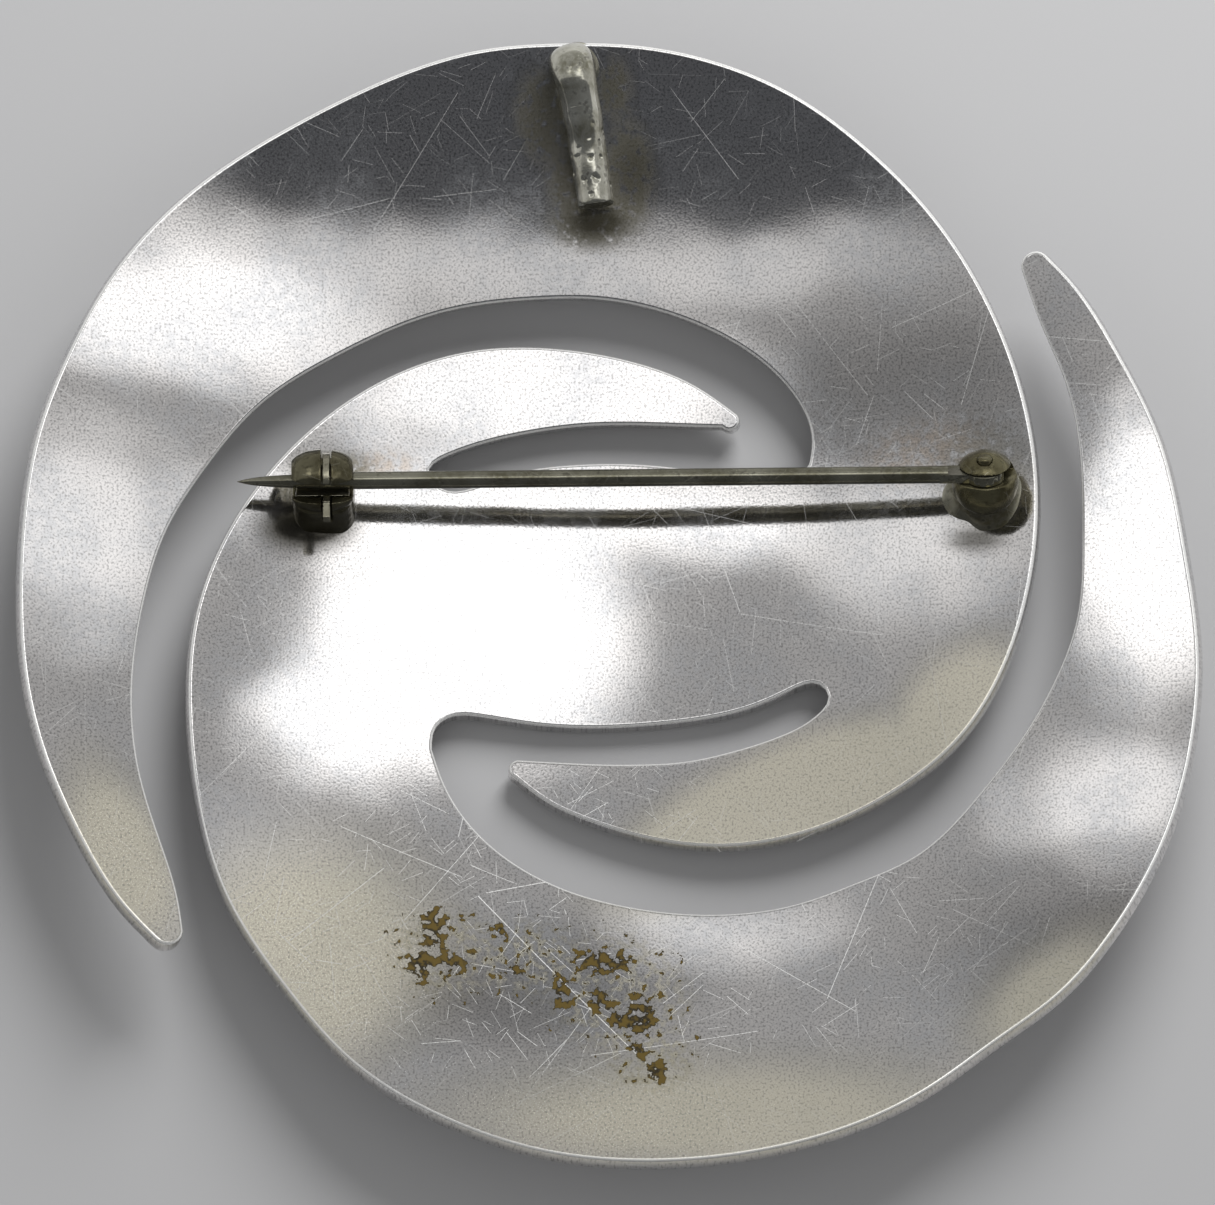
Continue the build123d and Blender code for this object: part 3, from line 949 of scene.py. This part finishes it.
@dataclass
class SwirlPlate:
    """The pierced and domed plate."""

    width: float = 63.0
    length: float = 62.5
    middle_lift: float = 1.4
    sheet: float = 1.0
    bowl_radius: float = 110.0
    rim_round: float = 0.17
    rim_segments: int = 3
    outline_step: float = 0.42
    tip_steps: int = 8
    net_step: float = 0.5
    rim_shine: float = 0.06
    rim_band: float = 0.03
    wave_height: float = 0.045
    wave_reach: float = 8.5
    fine_waves: float = 3.0
    fine_share: float = 0.2

    def spot(self, share: Pair) -> Pair:
        """Turns shares of half the plate's width and length into millimetres."""
        return (share[0] * self.width / 2, share[1] * self.length / 2)

    def laid(self, thousandths: tuple[int, int]) -> Pair:
        """Lays a point of the outline's tables on the flat blank, in millimetres."""
        share = (thousandths[0] / 1000, thousandths[1] / 1000)
        lift = self.middle_lift * (1 - share[0] ** 2 - share[1] ** 2)
        across, along = self.spot(share)
        return (across, along + lift)

    def outline(self) -> list[Pair]:
        """Gives the whole outline, once round."""
        runs = (
            (OUTER_EDGE, LOWER_TIP), (LOWER_SLOT, None), (LOWER_ARM_INSIDE, RIGHT_TIP),
            (LOWER_EDGE, UPPER_TIP), (UPPER_SLOT, None), (UPPER_ARM_INSIDE, LEFT_TIP),
        )
        points: list[Pair] = []
        for edge, tip in runs:
            points += smooth_run([self.laid(point) for point in edge], self.outline_step)
            points += arc_run([self.laid(point) for point in tip], self.tip_steps) if tip else []
        return points

    def blank(self) -> Piece:
        """Saws the flat blank out, rounds its rims and lays a net over it."""
        points = self.outline()
        deselect_all()
        bpy.ops.mesh.primitive_circle_add(vertices=len(points), radius=self.width / 2, fill_type="NGON")
        piece = bpy.context.object
        piece.name = "plate"
        for vertex, point in zip(piece.data.vertices, points):
            vertex.co = (*point, 0)
        with editing(piece):
            bpy.ops.mesh.extrude_region_move(TRANSFORM_OT_translate={"value": (0, 0, self.sheet)})
            face_outwards()
            pick(piece, "EDGE", lambda edge: abs(edge.verts[0].co.z - edge.verts[1].co.z) < self.sheet / 2)
            bpy.ops.mesh.bevel(
                offset=self.rim_round, segments=self.rim_segments, profile=0.5, affect="EDGES",
                clamp_overlap=False,
            )
            pick(piece, "FACE", lambda face: face.calc_area() > self.width)
            bpy.ops.mesh.inset(thickness=self.rim_band)
            bpy.ops.mesh.hide(unselected=True)
            for axis, half in ((0, self.width / 2), (1, self.length / 2)):
                for at in np.arange(-half, half, self.net_step):
                    cut = [0.0, 0.0, 0.0]
                    cut[axis] = at + self.net_step / 2
                    way = [float(number == axis) for number in range(3)]
                    bpy.ops.mesh.select_all(action="SELECT")
                    bpy.ops.mesh.bisect(plane_co=cut, plane_no=way)
            bpy.ops.mesh.reveal()
        return piece

    @staticmethod
    def paint_mask(piece: Piece, name: str, mask: np.ndarray) -> None:
        """Paints one mask on a piece, as a value at each vertex."""
        piece.data.attributes.new(name, "FLOAT", "POINT").data.foreach_set("value", mask)

    def paint(self, piece: Piece) -> None:
        """Paints the plate's masks on its flat blank: stains, painted shade and reflection on the hollow face
        alone.
        """
        across, along, heights = np.array([vertex.co[:] for vertex in piece.data.vertices]).T
        hollow = heights > self.sheet / 2
        self.paint_mask(piece, "worn", np.max([row.share(across, along) for row in WORN_FIELDS], axis=0))
        for name, rows in STAINS.items():
            self.paint_mask(piece, name, np.max([row.share(across, along) for row in rows], axis=0) * hollow)
        # The rim mask: a paler top edge, partly rubbed and partly a painted highlight
        outline = self.outline()
        tree = KDTree(len(outline))
        for number, point in enumerate(outline):
            tree.insert((*point, 0), number)
        tree.balance()
        off = np.array([tree.find((*point, 0))[2] for point in zip(across, along)])
        near_top = np.clip((heights - self.sheet + self.rim_round) / self.rim_shine - 0.5, 0, 1)
        self.paint_mask(piece, "rim", np.clip((self.rim_round - off) / self.rim_shine, 0, 1) * near_top)

    def wave(self, x: float, y: float) -> float:
        """How far the hand-worked sheet is off a true dome."""
        broad = noise.noise(Vector((x, y, BROAD_SLICE)) / self.wave_reach)
        fine = noise.noise(Vector((x, y, FINE_SLICE)) / (self.wave_reach / self.fine_waves))
        calm = min(1.0, math.hypot(x, y) / self.wave_reach)
        return self.wave_height * (broad + self.fine_share * fine) * calm

    def seat(self, x: float, y: float) -> Vector:
        """The point of the hollow face at a place on the plate."""
        return Vector((x, y, self.bowl_radius + self.sheet - math.sqrt(self.bowl_radius**2 - x * x - y * y)))

    def domed(self, place: Vector, _normal: Vector) -> Vector:
        """Where a point of the flat blank lies on the domed plate."""
        outer = self.bowl_radius + self.sheet
        share = (outer - place.z) / outer - self.wave(place.x, place.y) / outer
        drop = math.sqrt(outer**2 - place.x**2 - place.y**2)
        return Vector((place.x * share, place.y * share, outer - drop * share))

    def build(self) -> Piece:
        """Builds the plate and dresses it."""
        piece = self.blank()
        self.paint(piece)
        shift_vertices(piece, self.domed)
        return finish_piece(piece, Body.BROOCH, "swirl_plate", PlateSilver("plate_silver"))


def rounded_route(points: Sequence[Vector], radii: Sequence[float], steps: int) -> list[Vector]:
    """Follows straight runs with an arc at each corner.

    Args:
        points: The corners and both ends.
        radii: The radius at each corner.
        steps: How many steps each arc has.

    Returns:
        Points along the route.
    """
    route = [points[0]]
    for at, radius in enumerate(radii, start=1):
        back = (points[at - 1] - points[at]).normalized()
        on = (points[at + 1] - points[at]).normalized()
        half = back.angle(on) / 2
        centre = points[at] + (back + on).normalized() * (radius / math.sin(half))
        start = points[at] + back * (radius / math.tan(half)) - centre
        turn = math.pi - 2 * half
        axis = back.cross(on).normalized()
        for step in range(steps + 1):
            route.append(centre + Matrix.Rotation(-turn * step / steps, 3, axis) @ start)
    return route + [points[-1]]


@dataclass
class PendantHook:
    """The bent wire near the top edge that a chain is threaded under."""

    plate: SwirlPlate
    wire: float = 1.96
    foot: Pair = (-0.0572, 0.952)
    end: Pair = (-0.0219, 0.705)
    bend_share: float = 0.58
    top_gap: float = 1.62
    bend_gap: float = 0.82
    end_gap: float = 0.87
    inner_bend: float = 0.17
    low_bend: float = 6.0
    end_slant: float = -6.0
    end_bevel: float = 0.12
    sides: int = 40
    corner_steps: int = 14
    run_step: float = 0.25
    dent_waves: float = 0.9
    dent_depth: float = 0.05
    nick_waves: float = 2.6
    nick_least: float = 0.32
    nick_depth: float = 0.35
    nicks_end: float = 26.5
    shoulder: float = 0.4
    shoulder_start: float = 26.0
    shoulder_run: float = 3.0

    def on_plate(self, share: Pair) -> Vector:
        """Gives the point of the hollow face at a pair of shares."""
        return self.plate.seat(*self.plate.spot(share))

    def route(self) -> list[Vector]:
        """Gives the middle of the wire, in even short steps."""
        radius = self.wire / 2
        foot, end = self.on_plate(self.foot), self.on_plate(self.end)
        flat = foot + (end - foot) * self.bend_share
        bend = self.plate.seat(flat.x, flat.y) + Vector((0, 0, radius + self.bend_gap))
        tail = end + Vector((0, 0, radius + self.end_gap))
        corners = [
            foot - Vector((0, 0, self.plate.sheet / 2)), foot + Vector((0, 0, radius + self.top_gap)),
            bend, tail + (tail - bend).normalized() * radius,
        ]
        rough = rounded_route(corners, (radius + self.inner_bend, self.low_bend), self.corner_steps)
        even = [rough[0]]
        for point in rough[1:]:
            steps = max(1, round((point - even[-1]).length / self.run_step))
            start = even[-1]
            even += [start.lerp(point, (number + 1) / steps) for number in range(steps)]
        return even

    def swept(self) -> Piece:
        """Draws a ring along the route into a closed bar."""
        route = self.route()
        deselect_all()
        bpy.ops.mesh.primitive_circle_add(
            vertices=self.sides, radius=self.wire / 2, fill_type="NGON", location=route[0]
        )
        piece = bpy.context.object
        piece.name = "pendant_hook"
        bpy.ops.object.transform_apply(location=True, rotation=False, scale=False)
        ways = [(after - before).normalized() for before, after in zip(route, route[1:])]
        ways = [ways[0]] + [(one + two).normalized() for one, two in zip(ways, ways[1:])] + [ways[-1]]
        with editing(piece):
            for at in range(1, len(route)):
                step = route[at] - route[at - 1]
                bpy.ops.mesh.extrude_region_move(TRANSFORM_OT_translate={"value": step})
                mesh = bmesh.from_edit_mesh(piece.data)
                ring = [vertex for vertex in mesh.verts if vertex.select]
                turn = ways[at - 1].rotation_difference(ways[at]).to_matrix()
                bmesh.ops.rotate(mesh, cent=route[at], matrix=turn, verts=ring)
                bmesh.update_edit_mesh(piece.data)
            face_outwards()
        return piece

    def worked(self, place: Vector, normal: Vector) -> Vector:
        """Where a point of the bar lies once the wire is bent by pliers and nicked."""
        dent = noise.noise(place * self.dent_waves + Vector((4, 1, 7))) * self.dent_depth
        found = noise.noise(place * self.nick_waves + Vector((0, 9, 2)))
        nick = max(0.0, found - self.nick_least) * self.nick_depth if place.y < self.nicks_end else 0.0
        share = min(1.0, max(0.0, (place.y - self.shoulder_start) / self.shoulder_run))
        swell = self.shoulder * share * min(0.0, normal.x)
        return place + normal * (dent - nick) + Vector((swell, 0, 0))

    def build(self) -> Piece:
        """Builds the hook, cuts its end on the slant and dresses it."""
        piece = self.swept()
        foot, end = self.on_plate(self.foot), self.on_plate(self.end)
        way = Vector((end.x - foot.x, end.y - foot.y, 0)).normalized()
        slant = math.radians(self.end_slant)
        face = way * math.cos(slant) + Vector((0, 0, math.sin(slant)))
        cut = end + Vector((0, 0, self.wire / 2 + self.end_gap))
        with editing(piece):
            bpy.ops.mesh.bisect(plane_co=cut, plane_no=face, use_fill=True, clear_outer=True)
        bevel_edges(piece, self.end_bevel, segments=3)
        soft_casting(piece, grain=0.07, rounds=2, lumps=0.0)
        shift_vertices(piece, self.worked)
        return finish_piece(piece, Body.BROOCH, "swirl_plate", HOOK_METAL)


@dataclass
class Solder:
    """Fillets of solder where the fittings stand on the plate."""

    plate: SwirlPlate
    root: float = 0.3
    wobble: float = 0.22
    wobble_waves: float = 0.7

    def fillet(self, name: str, foot: Pair, inner: float, outer: float, rise: float) -> Piece:
        """Runs a hollow fillet round a foot.

        Args:
            name: The piece's name.
            foot: Where the foot stands, across and along the plate.
            inner: The radius of the foot.
            outer: How far the solder runs out.
            rise: How far it climbs the foot.

        Returns:
            The piece.
        """
        seat = self.plate.seat(*foot)
        up = (Vector((0, 0, self.plate.bowl_radius + self.plate.sheet)) - seat).normalized()
        place = placed(seat, Vector((1, 0, 0)), up)
        run = outer - inner
        hollow = [(rise * (1 - math.sin(a)), inner + run * (1 - math.cos(a))) for a in quarter_turn(8)]
        profile = [(-self.root, 0.0), (-self.root, outer)] + hollow[::-1] + [(rise, 0.0)]
        piece = turned(name, place, profile, steps=72)

        def uneven(point: Vector, _normal: Vector) -> Vector:
            """Lets the solder run further on some sides."""
            out = point - seat
            share = 1 + self.wobble * noise.noise(point * self.wobble_waves) * min(1.0, out.length / inner)
            return seat + Vector((out.x * share, out.y * share, out.z))

        shift_vertices(piece, uneven)
        return finish_piece(piece, Body.BROOCH, "swirl_plate", SOLDER_METAL)

    def build(self) -> None:
        """Solders the hook and the hinge."""
        self.fillet("hook_solder", self.plate.spot(PendantHook.foot), inner=0.95, outer=1.2, rise=0.4)
        ball = HINGE_POINT + SIDE_WAY * HingeBall.side
        self.fillet("hinge_solder", (ball.x, ball.y), inner=1.25, outer=2.08, rise=1.3)


@dataclass
class CatchHousing:
    """The catch's barrel on its foot, slotted for the disc and open at the mouth."""

    barrel_radius: float = 1.68
    end_radius: float = 1.08
    tip_reach: float = 1.85
    hinge_reach: float = 1.4
    bore: float = 0.92
    mouth: float = 1.1
    slot: float = 0.54
    slot_depth: float = 1.58
    foot_width: float = 3.9
    foot_depth: float = 3.4
    foot_top_gap: float = 0.55
    foot_round: float = 1.0
    narrowing: float = 0.3
    fullness: float = 0.6

    def foot(self, upright: Matrix, middle: float, length: float) -> Piece:
        """Builds the foot, narrower at its top and round at its corners.

        Args:
            upright: The catch's frame, along the pin and upwards.
            middle: Where the foot's middle is, along the pin.
            length: How long the foot is.

        Returns:
            The foot.
        """
        height = self.foot_depth - self.foot_top_gap
        level = -self.foot_top_gap - height / 2
        place = upright @ Matrix.Translation((middle, 0, level))
        foot = block("foot", place, (length, self.foot_width, height))
        to_local = upright.inverted()

        def stands(edge: bmesh.types.BMEdge) -> bool:
            """Says whether an edge runs steeply upwards."""
            way = (edge.verts[0].co - edge.verts[1].co).normalized()
            return abs(way.dot(UP_WAY)) > 0.8

        with editing(foot):
            pick(foot, "FACE", lambda face: (to_local @ face.calc_center_median()).z > level + height / 3)
            shrink = 1 - 2 * self.narrowing / self.foot_width
            top = place.translation + UP_WAY * height / 2
            bpy.ops.transform.resize(value=(1.0, shrink, 1.0), center_override=top)
            pick(foot, "EDGE", stands)
            bpy.ops.mesh.bevel(offset=self.foot_round, segments=8, affect="EDGES")
        return foot

    def build(self) -> Piece:
        """Builds the housing and dresses it."""
        along = placed(CATCH_POINT, EXIT_WAY, PIN_WAY)
        upright = placed(CATCH_POINT, PIN_WAY, UP_WAY)
        length = self.tip_reach + self.hinge_reach
        middle = (self.tip_reach - self.hinge_reach) / 2
        rise = self.barrel_radius - self.end_radius
        shares = np.linspace(0, 1, 17)
        radii = [self.end_radius + rise * math.sin(math.pi * share) ** self.fullness for share in shares]
        swell = [(-self.hinge_reach + length * share, radius) for share, radius in zip(shares, radii)]
        profile = [(-self.hinge_reach, 0.0), *swell, (self.tip_reach, 0.0)]
        piece = turned("catch_housing", along, profile, steps=96)
        combine(piece, self.foot(upright, middle, length), "UNION")
        cut_block(piece, upright, (0, 0, CUT_DEPTH / 2 - self.slot_depth), (self.slot, CUT_WIDTH, CUT_DEPTH))
        cut_block(piece, along, (CUT_DEPTH / 2, 0, 0), (CUT_DEPTH, self.mouth, CUT_WIDTH))
        combine(piece, rod("bore", along, self.bore, CUT_DEPTH, sides=58), "DIFFERENCE")
        soft_casting(piece, grain=0.045, rounds=3, lumps=0.02)
        return finish_piece(piece, Body.BROOCH, "swirl_plate", CATCH_METAL)


@dataclass
class HingeBall:
    """The ball that the pin's eye turns in, with the rivet through its ears."""

    radius: float = 1.75
    drop: float = 0.9
    side: float = 0.17
    slot: float = 0.6
    slot_floor: float = 1.15
    rivet_radius: float = 0.4
    rivet_depth: float = 1.7
    rivet_proud: float = 0.14
    head_round: float = 0.2
    hole_ease: float = 0.02

    def build(self) -> list[Piece]:
        """Builds the ball and its rivet and dresses both."""
        shift = SIDE_WAY * self.side - UP_WAY * self.drop
        turning = placed(HINGE_POINT, PIN_WAY, RIVET_WAY)
        deselect_all()
        bpy.ops.mesh.primitive_uv_sphere_add(segments=96, ring_count=48, radius=self.radius)
        ball = adopt("hinge_ball", Matrix.Translation(HINGE_POINT + shift))
        cut_block(ball, turning, (0, CUT_DEPTH / 2 - self.slot_floor, 0), (CUT_WIDTH, CUT_DEPTH, self.slot))
        reach = self.rivet_depth + self.radius
        hole_place = turning @ Matrix.Translation((0, 0, reach / 2 - self.rivet_depth - self.hole_ease))
        combine(ball, rod("hole", hole_place, self.rivet_radius + self.hole_ease, reach), "DIFFERENCE")
        soft_casting(ball, grain=0.045, rounds=3, lumps=0.03)
        finish_piece(ball, Body.BROOCH, "swirl_plate", HINGE_METAL)

        top = shift.dot(RIVET_WAY) + math.sqrt(self.radius**2 - shift.dot(EXIT_WAY) ** 2) + self.rivet_proud
        low, narrow, curve = top - self.head_round, self.rivet_radius - self.head_round, self.head_round
        dome = [(low + curve * math.sin(a), narrow + curve * math.cos(a)) for a in quarter_turn(6)]
        profile = [(-self.rivet_depth, 0.0), (-self.rivet_depth, self.rivet_radius), *dome, (top, 0.0)]
        rivet = turned("rivet", turning, profile, steps=48)
        finish_piece(rivet, Body.BROOCH, "hinge_rivet", HINGE_METAL)
        return [ball, rivet]


@dataclass
class PinStem:
    """The pin: a tapered stem, and the tongue with the eye that it turns on."""

    radius: float = 0.465
    overhang: float = 4.75
    shoulder: float = 1.95
    eye_radius: float = 1.0
    eye_bore: float = 0.45
    eye_thickness: float = 0.5
    tongue_width: float = 1.1
    eye_bevel: float = 0.06
    taper: tuple[Pair, ...] = (
        (0.0, 1.0), (0.835, 1.0), (0.88, 0.90), (0.928, 0.76), (0.957, 0.63), (0.975, 0.49), (0.990, 0.27),
        (1.0, 0.03),
    )

    def build(self) -> list[Piece]:
        """Builds the stem and the eye and dresses both."""
        length = (CATCH_POINT - HINGE_POINT).length + self.overhang
        along = placed(HINGE_POINT, EXIT_WAY, PIN_WAY)
        shares = np.linspace(self.shoulder / length, 1.0, 90)
        widths = np.interp(shares, [share for share, _ in self.taper], [width for _, width in self.taper])
        sides = [(share * length, width * self.radius) for share, width in zip(shares, widths)]
        stem = turned("pin_stem_wire", along, [(self.shoulder, 0.0), *sides, (length, 0.0)], steps=40)
        finish_piece(stem, Body.PIN, "pin_stem", PIN_METAL)

        turning = placed(HINGE_POINT, PIN_WAY, RIVET_WAY)
        eye = rod("pin_eye", turning, self.eye_radius, self.eye_thickness)
        reach = self.shoulder + self.radius
        tongue_place = turning @ Matrix.Translation((reach / 2, 0, 0))
        combine(eye, block("tongue", tongue_place, (reach, self.tongue_width, self.eye_thickness)), "UNION")
        combine(eye, rod("bore", turning, self.eye_bore, 2), "DIFFERENCE")
        bevel_edges(eye, self.eye_bevel, segments=2)
        finish_piece(eye, Body.PIN, "pin_stem", PIN_METAL)
        return [stem, eye]


@dataclass
class CatchSleeve:
    """The turning sleeve that locks the pin, with its disc and thumb tab."""

    radius: float = 0.86
    bore: float = 0.56
    gap: float = 1.04
    start: float = -1.2
    length: float = 2.85
    disc_radius: float = 1.45
    disc_thickness: float = 0.38
    tab_reach: float = 2.3
    tab_width: float = 0.6
    tab_turn: float = -36.0

    def build(self) -> Piece:
        """Builds the sleeve and dresses it."""
        along = placed(CATCH_POINT, EXIT_WAY, PIN_WAY)
        middle = along @ Matrix.Translation((0, 0, self.start + self.length / 2))
        piece = rod("catch_sleeve_tab", middle, self.radius, self.length)
        combine(piece, rod("disc", along, self.disc_radius, self.disc_thickness, sides=96), "UNION")
        turn = Matrix.Rotation(math.radians(self.tab_turn), 4, "Z")
        tab_middle = (self.radius + self.tab_reach) / 2
        tab_place = along @ turn @ Matrix.Translation((tab_middle, 0, 0))
        tab_size = (self.tab_reach - self.radius, self.tab_width, self.disc_thickness)
        combine(piece, block("tab", tab_place, tab_size), "UNION")
        combine(piece, rod("bore", along, self.bore, CUT_DEPTH), "DIFFERENCE")
        cut_block(piece, along, (CUT_DEPTH / 2, 0, 0), (CUT_DEPTH, self.gap, CUT_WIDTH))
        soft_casting(piece, grain=0.035, rounds=2, lumps=0.0)
        return finish_piece(piece, Body.SLEEVE, "catch_rotor", SLEEVE_METAL)


@dataclass(frozen=True)
class SkyPatch:
    """A soft bright or dark field of the studio, placed in millimetres where the bowl mirrors it."""

    middle: Pair
    reach: Pair
    level: float
    soft: float = 0.25
    tint: Colour = (1.0, 1.0, 1.0)


@dataclass
class Studio:
    """The pale floor, the soft light and the camera above."""

    level: float = 0.38
    side_level: float = 0.5
    sides: Pair = (50.0, 80.0)
    lit_level: float = 0.25
    lit_side_level: float = 0.62
    lit_sides: Pair = (30.0, 50.0)
    bowl_radius: float = 110.0
    floor_size: float = 2.0
    floor_colour: Colour = (0.45, 0.45, 0.455)
    camera_reach: float = 3.0
    camera_tilt: float = 17.0
    sensor_width: float = 36.0
    clip_start: float = 0.01
    view_width: float = 0.0644
    look_at: tuple[float, float, float] = (-0.00007, 0.0, 0.00503)
    key_way: Pair = (25.0, 50.0)
    key_reach: float = 0.3
    key_size: float = 0.2
    key_power: float = 1.0
    fields: tuple[SkyPatch, ...] = (
        SkyPatch((-2.6, 19.6), (17.5, 2.4), 0.75, 0.3),
        SkyPatch((-21.4, 16.0), (8.7, 3.7), 1.5, 0.3),
        SkyPatch((-2.6, 12.2), (11.4, 3.2), 1.5, 0.3),
        SkyPatch((-1.5, 6.2), (17.5, 2.2), 1.7, 0.5),
        SkyPatch((-7.1, -0.4), (7.7, 6.4), 2.2, 0.3),
        SkyPatch((-11.9, -5.0), (6.2, 3.5), 1.9, 0.3),
        SkyPatch((15.4, 11.9), (8.0, 4.7), 0.20, 0.5),
        SkyPatch((15.4, 4.3), (4.8, 3.4), 0.95, 0.5),
        SkyPatch((28.7, 3.3), (4.2, 7.2), 1.7, 0.3),
        SkyPatch((26.3, -10.5), (5.0, 3.4), 1.1, 0.4),
        SkyPatch((25.8, -18.6), (8.0, 4.4), 0.22, 0.5),
        SkyPatch((-28.0, 4.0), (5.0, 4.6), 1.15, 0.5),
        SkyPatch((-3.7, -20.6), (6.9, 3.0), 0.2, 0.5),
        SkyPatch((-18.0, -16.1), (5.3, 6.1), 0.6, 0.4),
        SkyPatch((5.4, -17.1), (5.3, 2.1), 0.95, 0.5),
        SkyPatch((0.0, 61.0), (90.0, 40.0), 0.08, 0.02, (0.93, 0.97, 1.05)),
    )

    def view_way(self) -> tuple[float, float, float]:
        """Gives the way from the brooch to the camera."""
        tilt = math.radians(self.camera_tilt)
        return (0.0, -math.sin(tilt), math.cos(tilt))

    def sky(self) -> None:
        """Sets the light for the floor and shadows, and the soft fields that the metal mirrors."""
        world = bpy.data.worlds.new("studio")
        bpy.context.scene.world = world
        world.use_nodes = True
        world.node_tree.nodes.clear()
        sheet = NodeSheet(world.node_tree)
        way = sheet.put("TexCoord").outputs["Generated"]
        normal = sheet.vector("NORMALIZE", sheet.vector("ADD", way, self.view_way()))
        flat = sheet.vector("MULTIPLY", normal, (-self.bowl_radius, -self.bowl_radius, 0.0))
        off = sheet.measure("LENGTH", flat)
        plain = sheet.mix(sheet.fade(off, *self.lit_sides), (self.lit_level,) * 3, (self.lit_side_level,) * 3)
        colour = sheet.mix(sheet.fade(off, *self.sides), (self.level,) * 3, (self.side_level,) * 3)
        for field in self.fields:
            shrink = [1 / reach for reach in field.reach]
            shift = [-middle / reach for middle, reach in zip(field.middle, field.reach)]
            laid = sheet.vector("MULTIPLY_ADD", flat, (*shrink, 0.0), (*shift, 0.0))
            out = sheet.measure("LENGTH", laid)
            mask = sheet.math("MULTIPLY_ADD", out, -0.5 / field.soft, (1 + field.soft) / (2 * field.soft))
            colour = sheet.mix(mask, colour, tuple(field.level * part for part in field.tint))
        shone = sheet.put("Background", {"Color": plain}).outputs[0]
        mirrored = sheet.put("Background", {"Color": colour}).outputs[0]
        glossy = sheet.put("LightPath").outputs["Is Glossy Ray"]
        both = sheet.put("MixShader", {0: glossy, 1: shone, 2: mirrored}).outputs[0]
        sheet.put("OutputWorld", {"Surface": both})

    def key(self) -> None:
        """Hangs the soft box that casts the shadows."""
        across, along = (math.radians(turn) for turn in self.key_way)
        light = bpy.data.lights.new("key", "AREA")
        light.shape = "DISK"
        light.size = self.key_size
        light.energy = self.key_power
        lamp = bpy.data.objects.new("key", light)
        bpy.context.scene.collection.objects.link(lamp)
        way = Vector((math.tan(across), math.tan(along), 1)).normalized()
        lamp.location = way * self.key_reach
        lamp.visible_glossy = False
        lamp.rotation_mode = "QUATERNION"
        lamp.rotation_quaternion = way.to_track_quat("Z", "Y")

    def floor(self) -> None:
        """Lays the pale floor."""
        deselect_all()
        bpy.ops.mesh.primitive_plane_add(size=self.floor_size)
        floor = bpy.context.object
        floor.name = "floor"
        made = bpy.data.materials.new("pale_floor")
        made.use_nodes = True
        shader = made.node_tree.nodes["Principled BSDF"]
        shader.inputs["Base Color"].default_value = (*self.floor_colour, 1)
        shader.inputs["Roughness"].default_value = 1.0
        shader.inputs["Specular IOR Level"].default_value = 0.0
        floor.data.materials.append(made)

    def camera(self) -> None:
        """Hangs the camera above, a little to the near side."""
        data = bpy.data.cameras.new("camera")
        data.sensor_width = self.sensor_width
        data.lens = self.sensor_width * self.camera_reach / self.view_width
        data.clip_start = self.clip_start
        eye = bpy.data.objects.new("camera", data)
        bpy.context.scene.collection.objects.link(eye)
        eye.rotation_euler = (math.radians(self.camera_tilt), 0, 0)
        eye.location = Vector(self.look_at) + self.camera_reach * Vector(self.view_way())
        bpy.context.scene.camera = eye

    def build(self) -> None:
        """Sets the whole studio up."""
        self.sky()
        self.key()
        self.floor()
        self.camera()
        bpy.context.scene.view_settings.view_transform = "Standard"


def main() -> None:
    """Builds the brooch round its frame, then the studio."""
    logging.basicConfig(level=logging.INFO, format="%(message)s")
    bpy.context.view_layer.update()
    plate = SwirlPlate()
    plate.build()
    for part in (PendantHook(plate), Solder(plate), CatchHousing(), HingeBall(), PinStem(), CatchSleeve()):
        part.build()
    Studio().build()
    deselect_all()


if __name__ == "__main__":
    main()
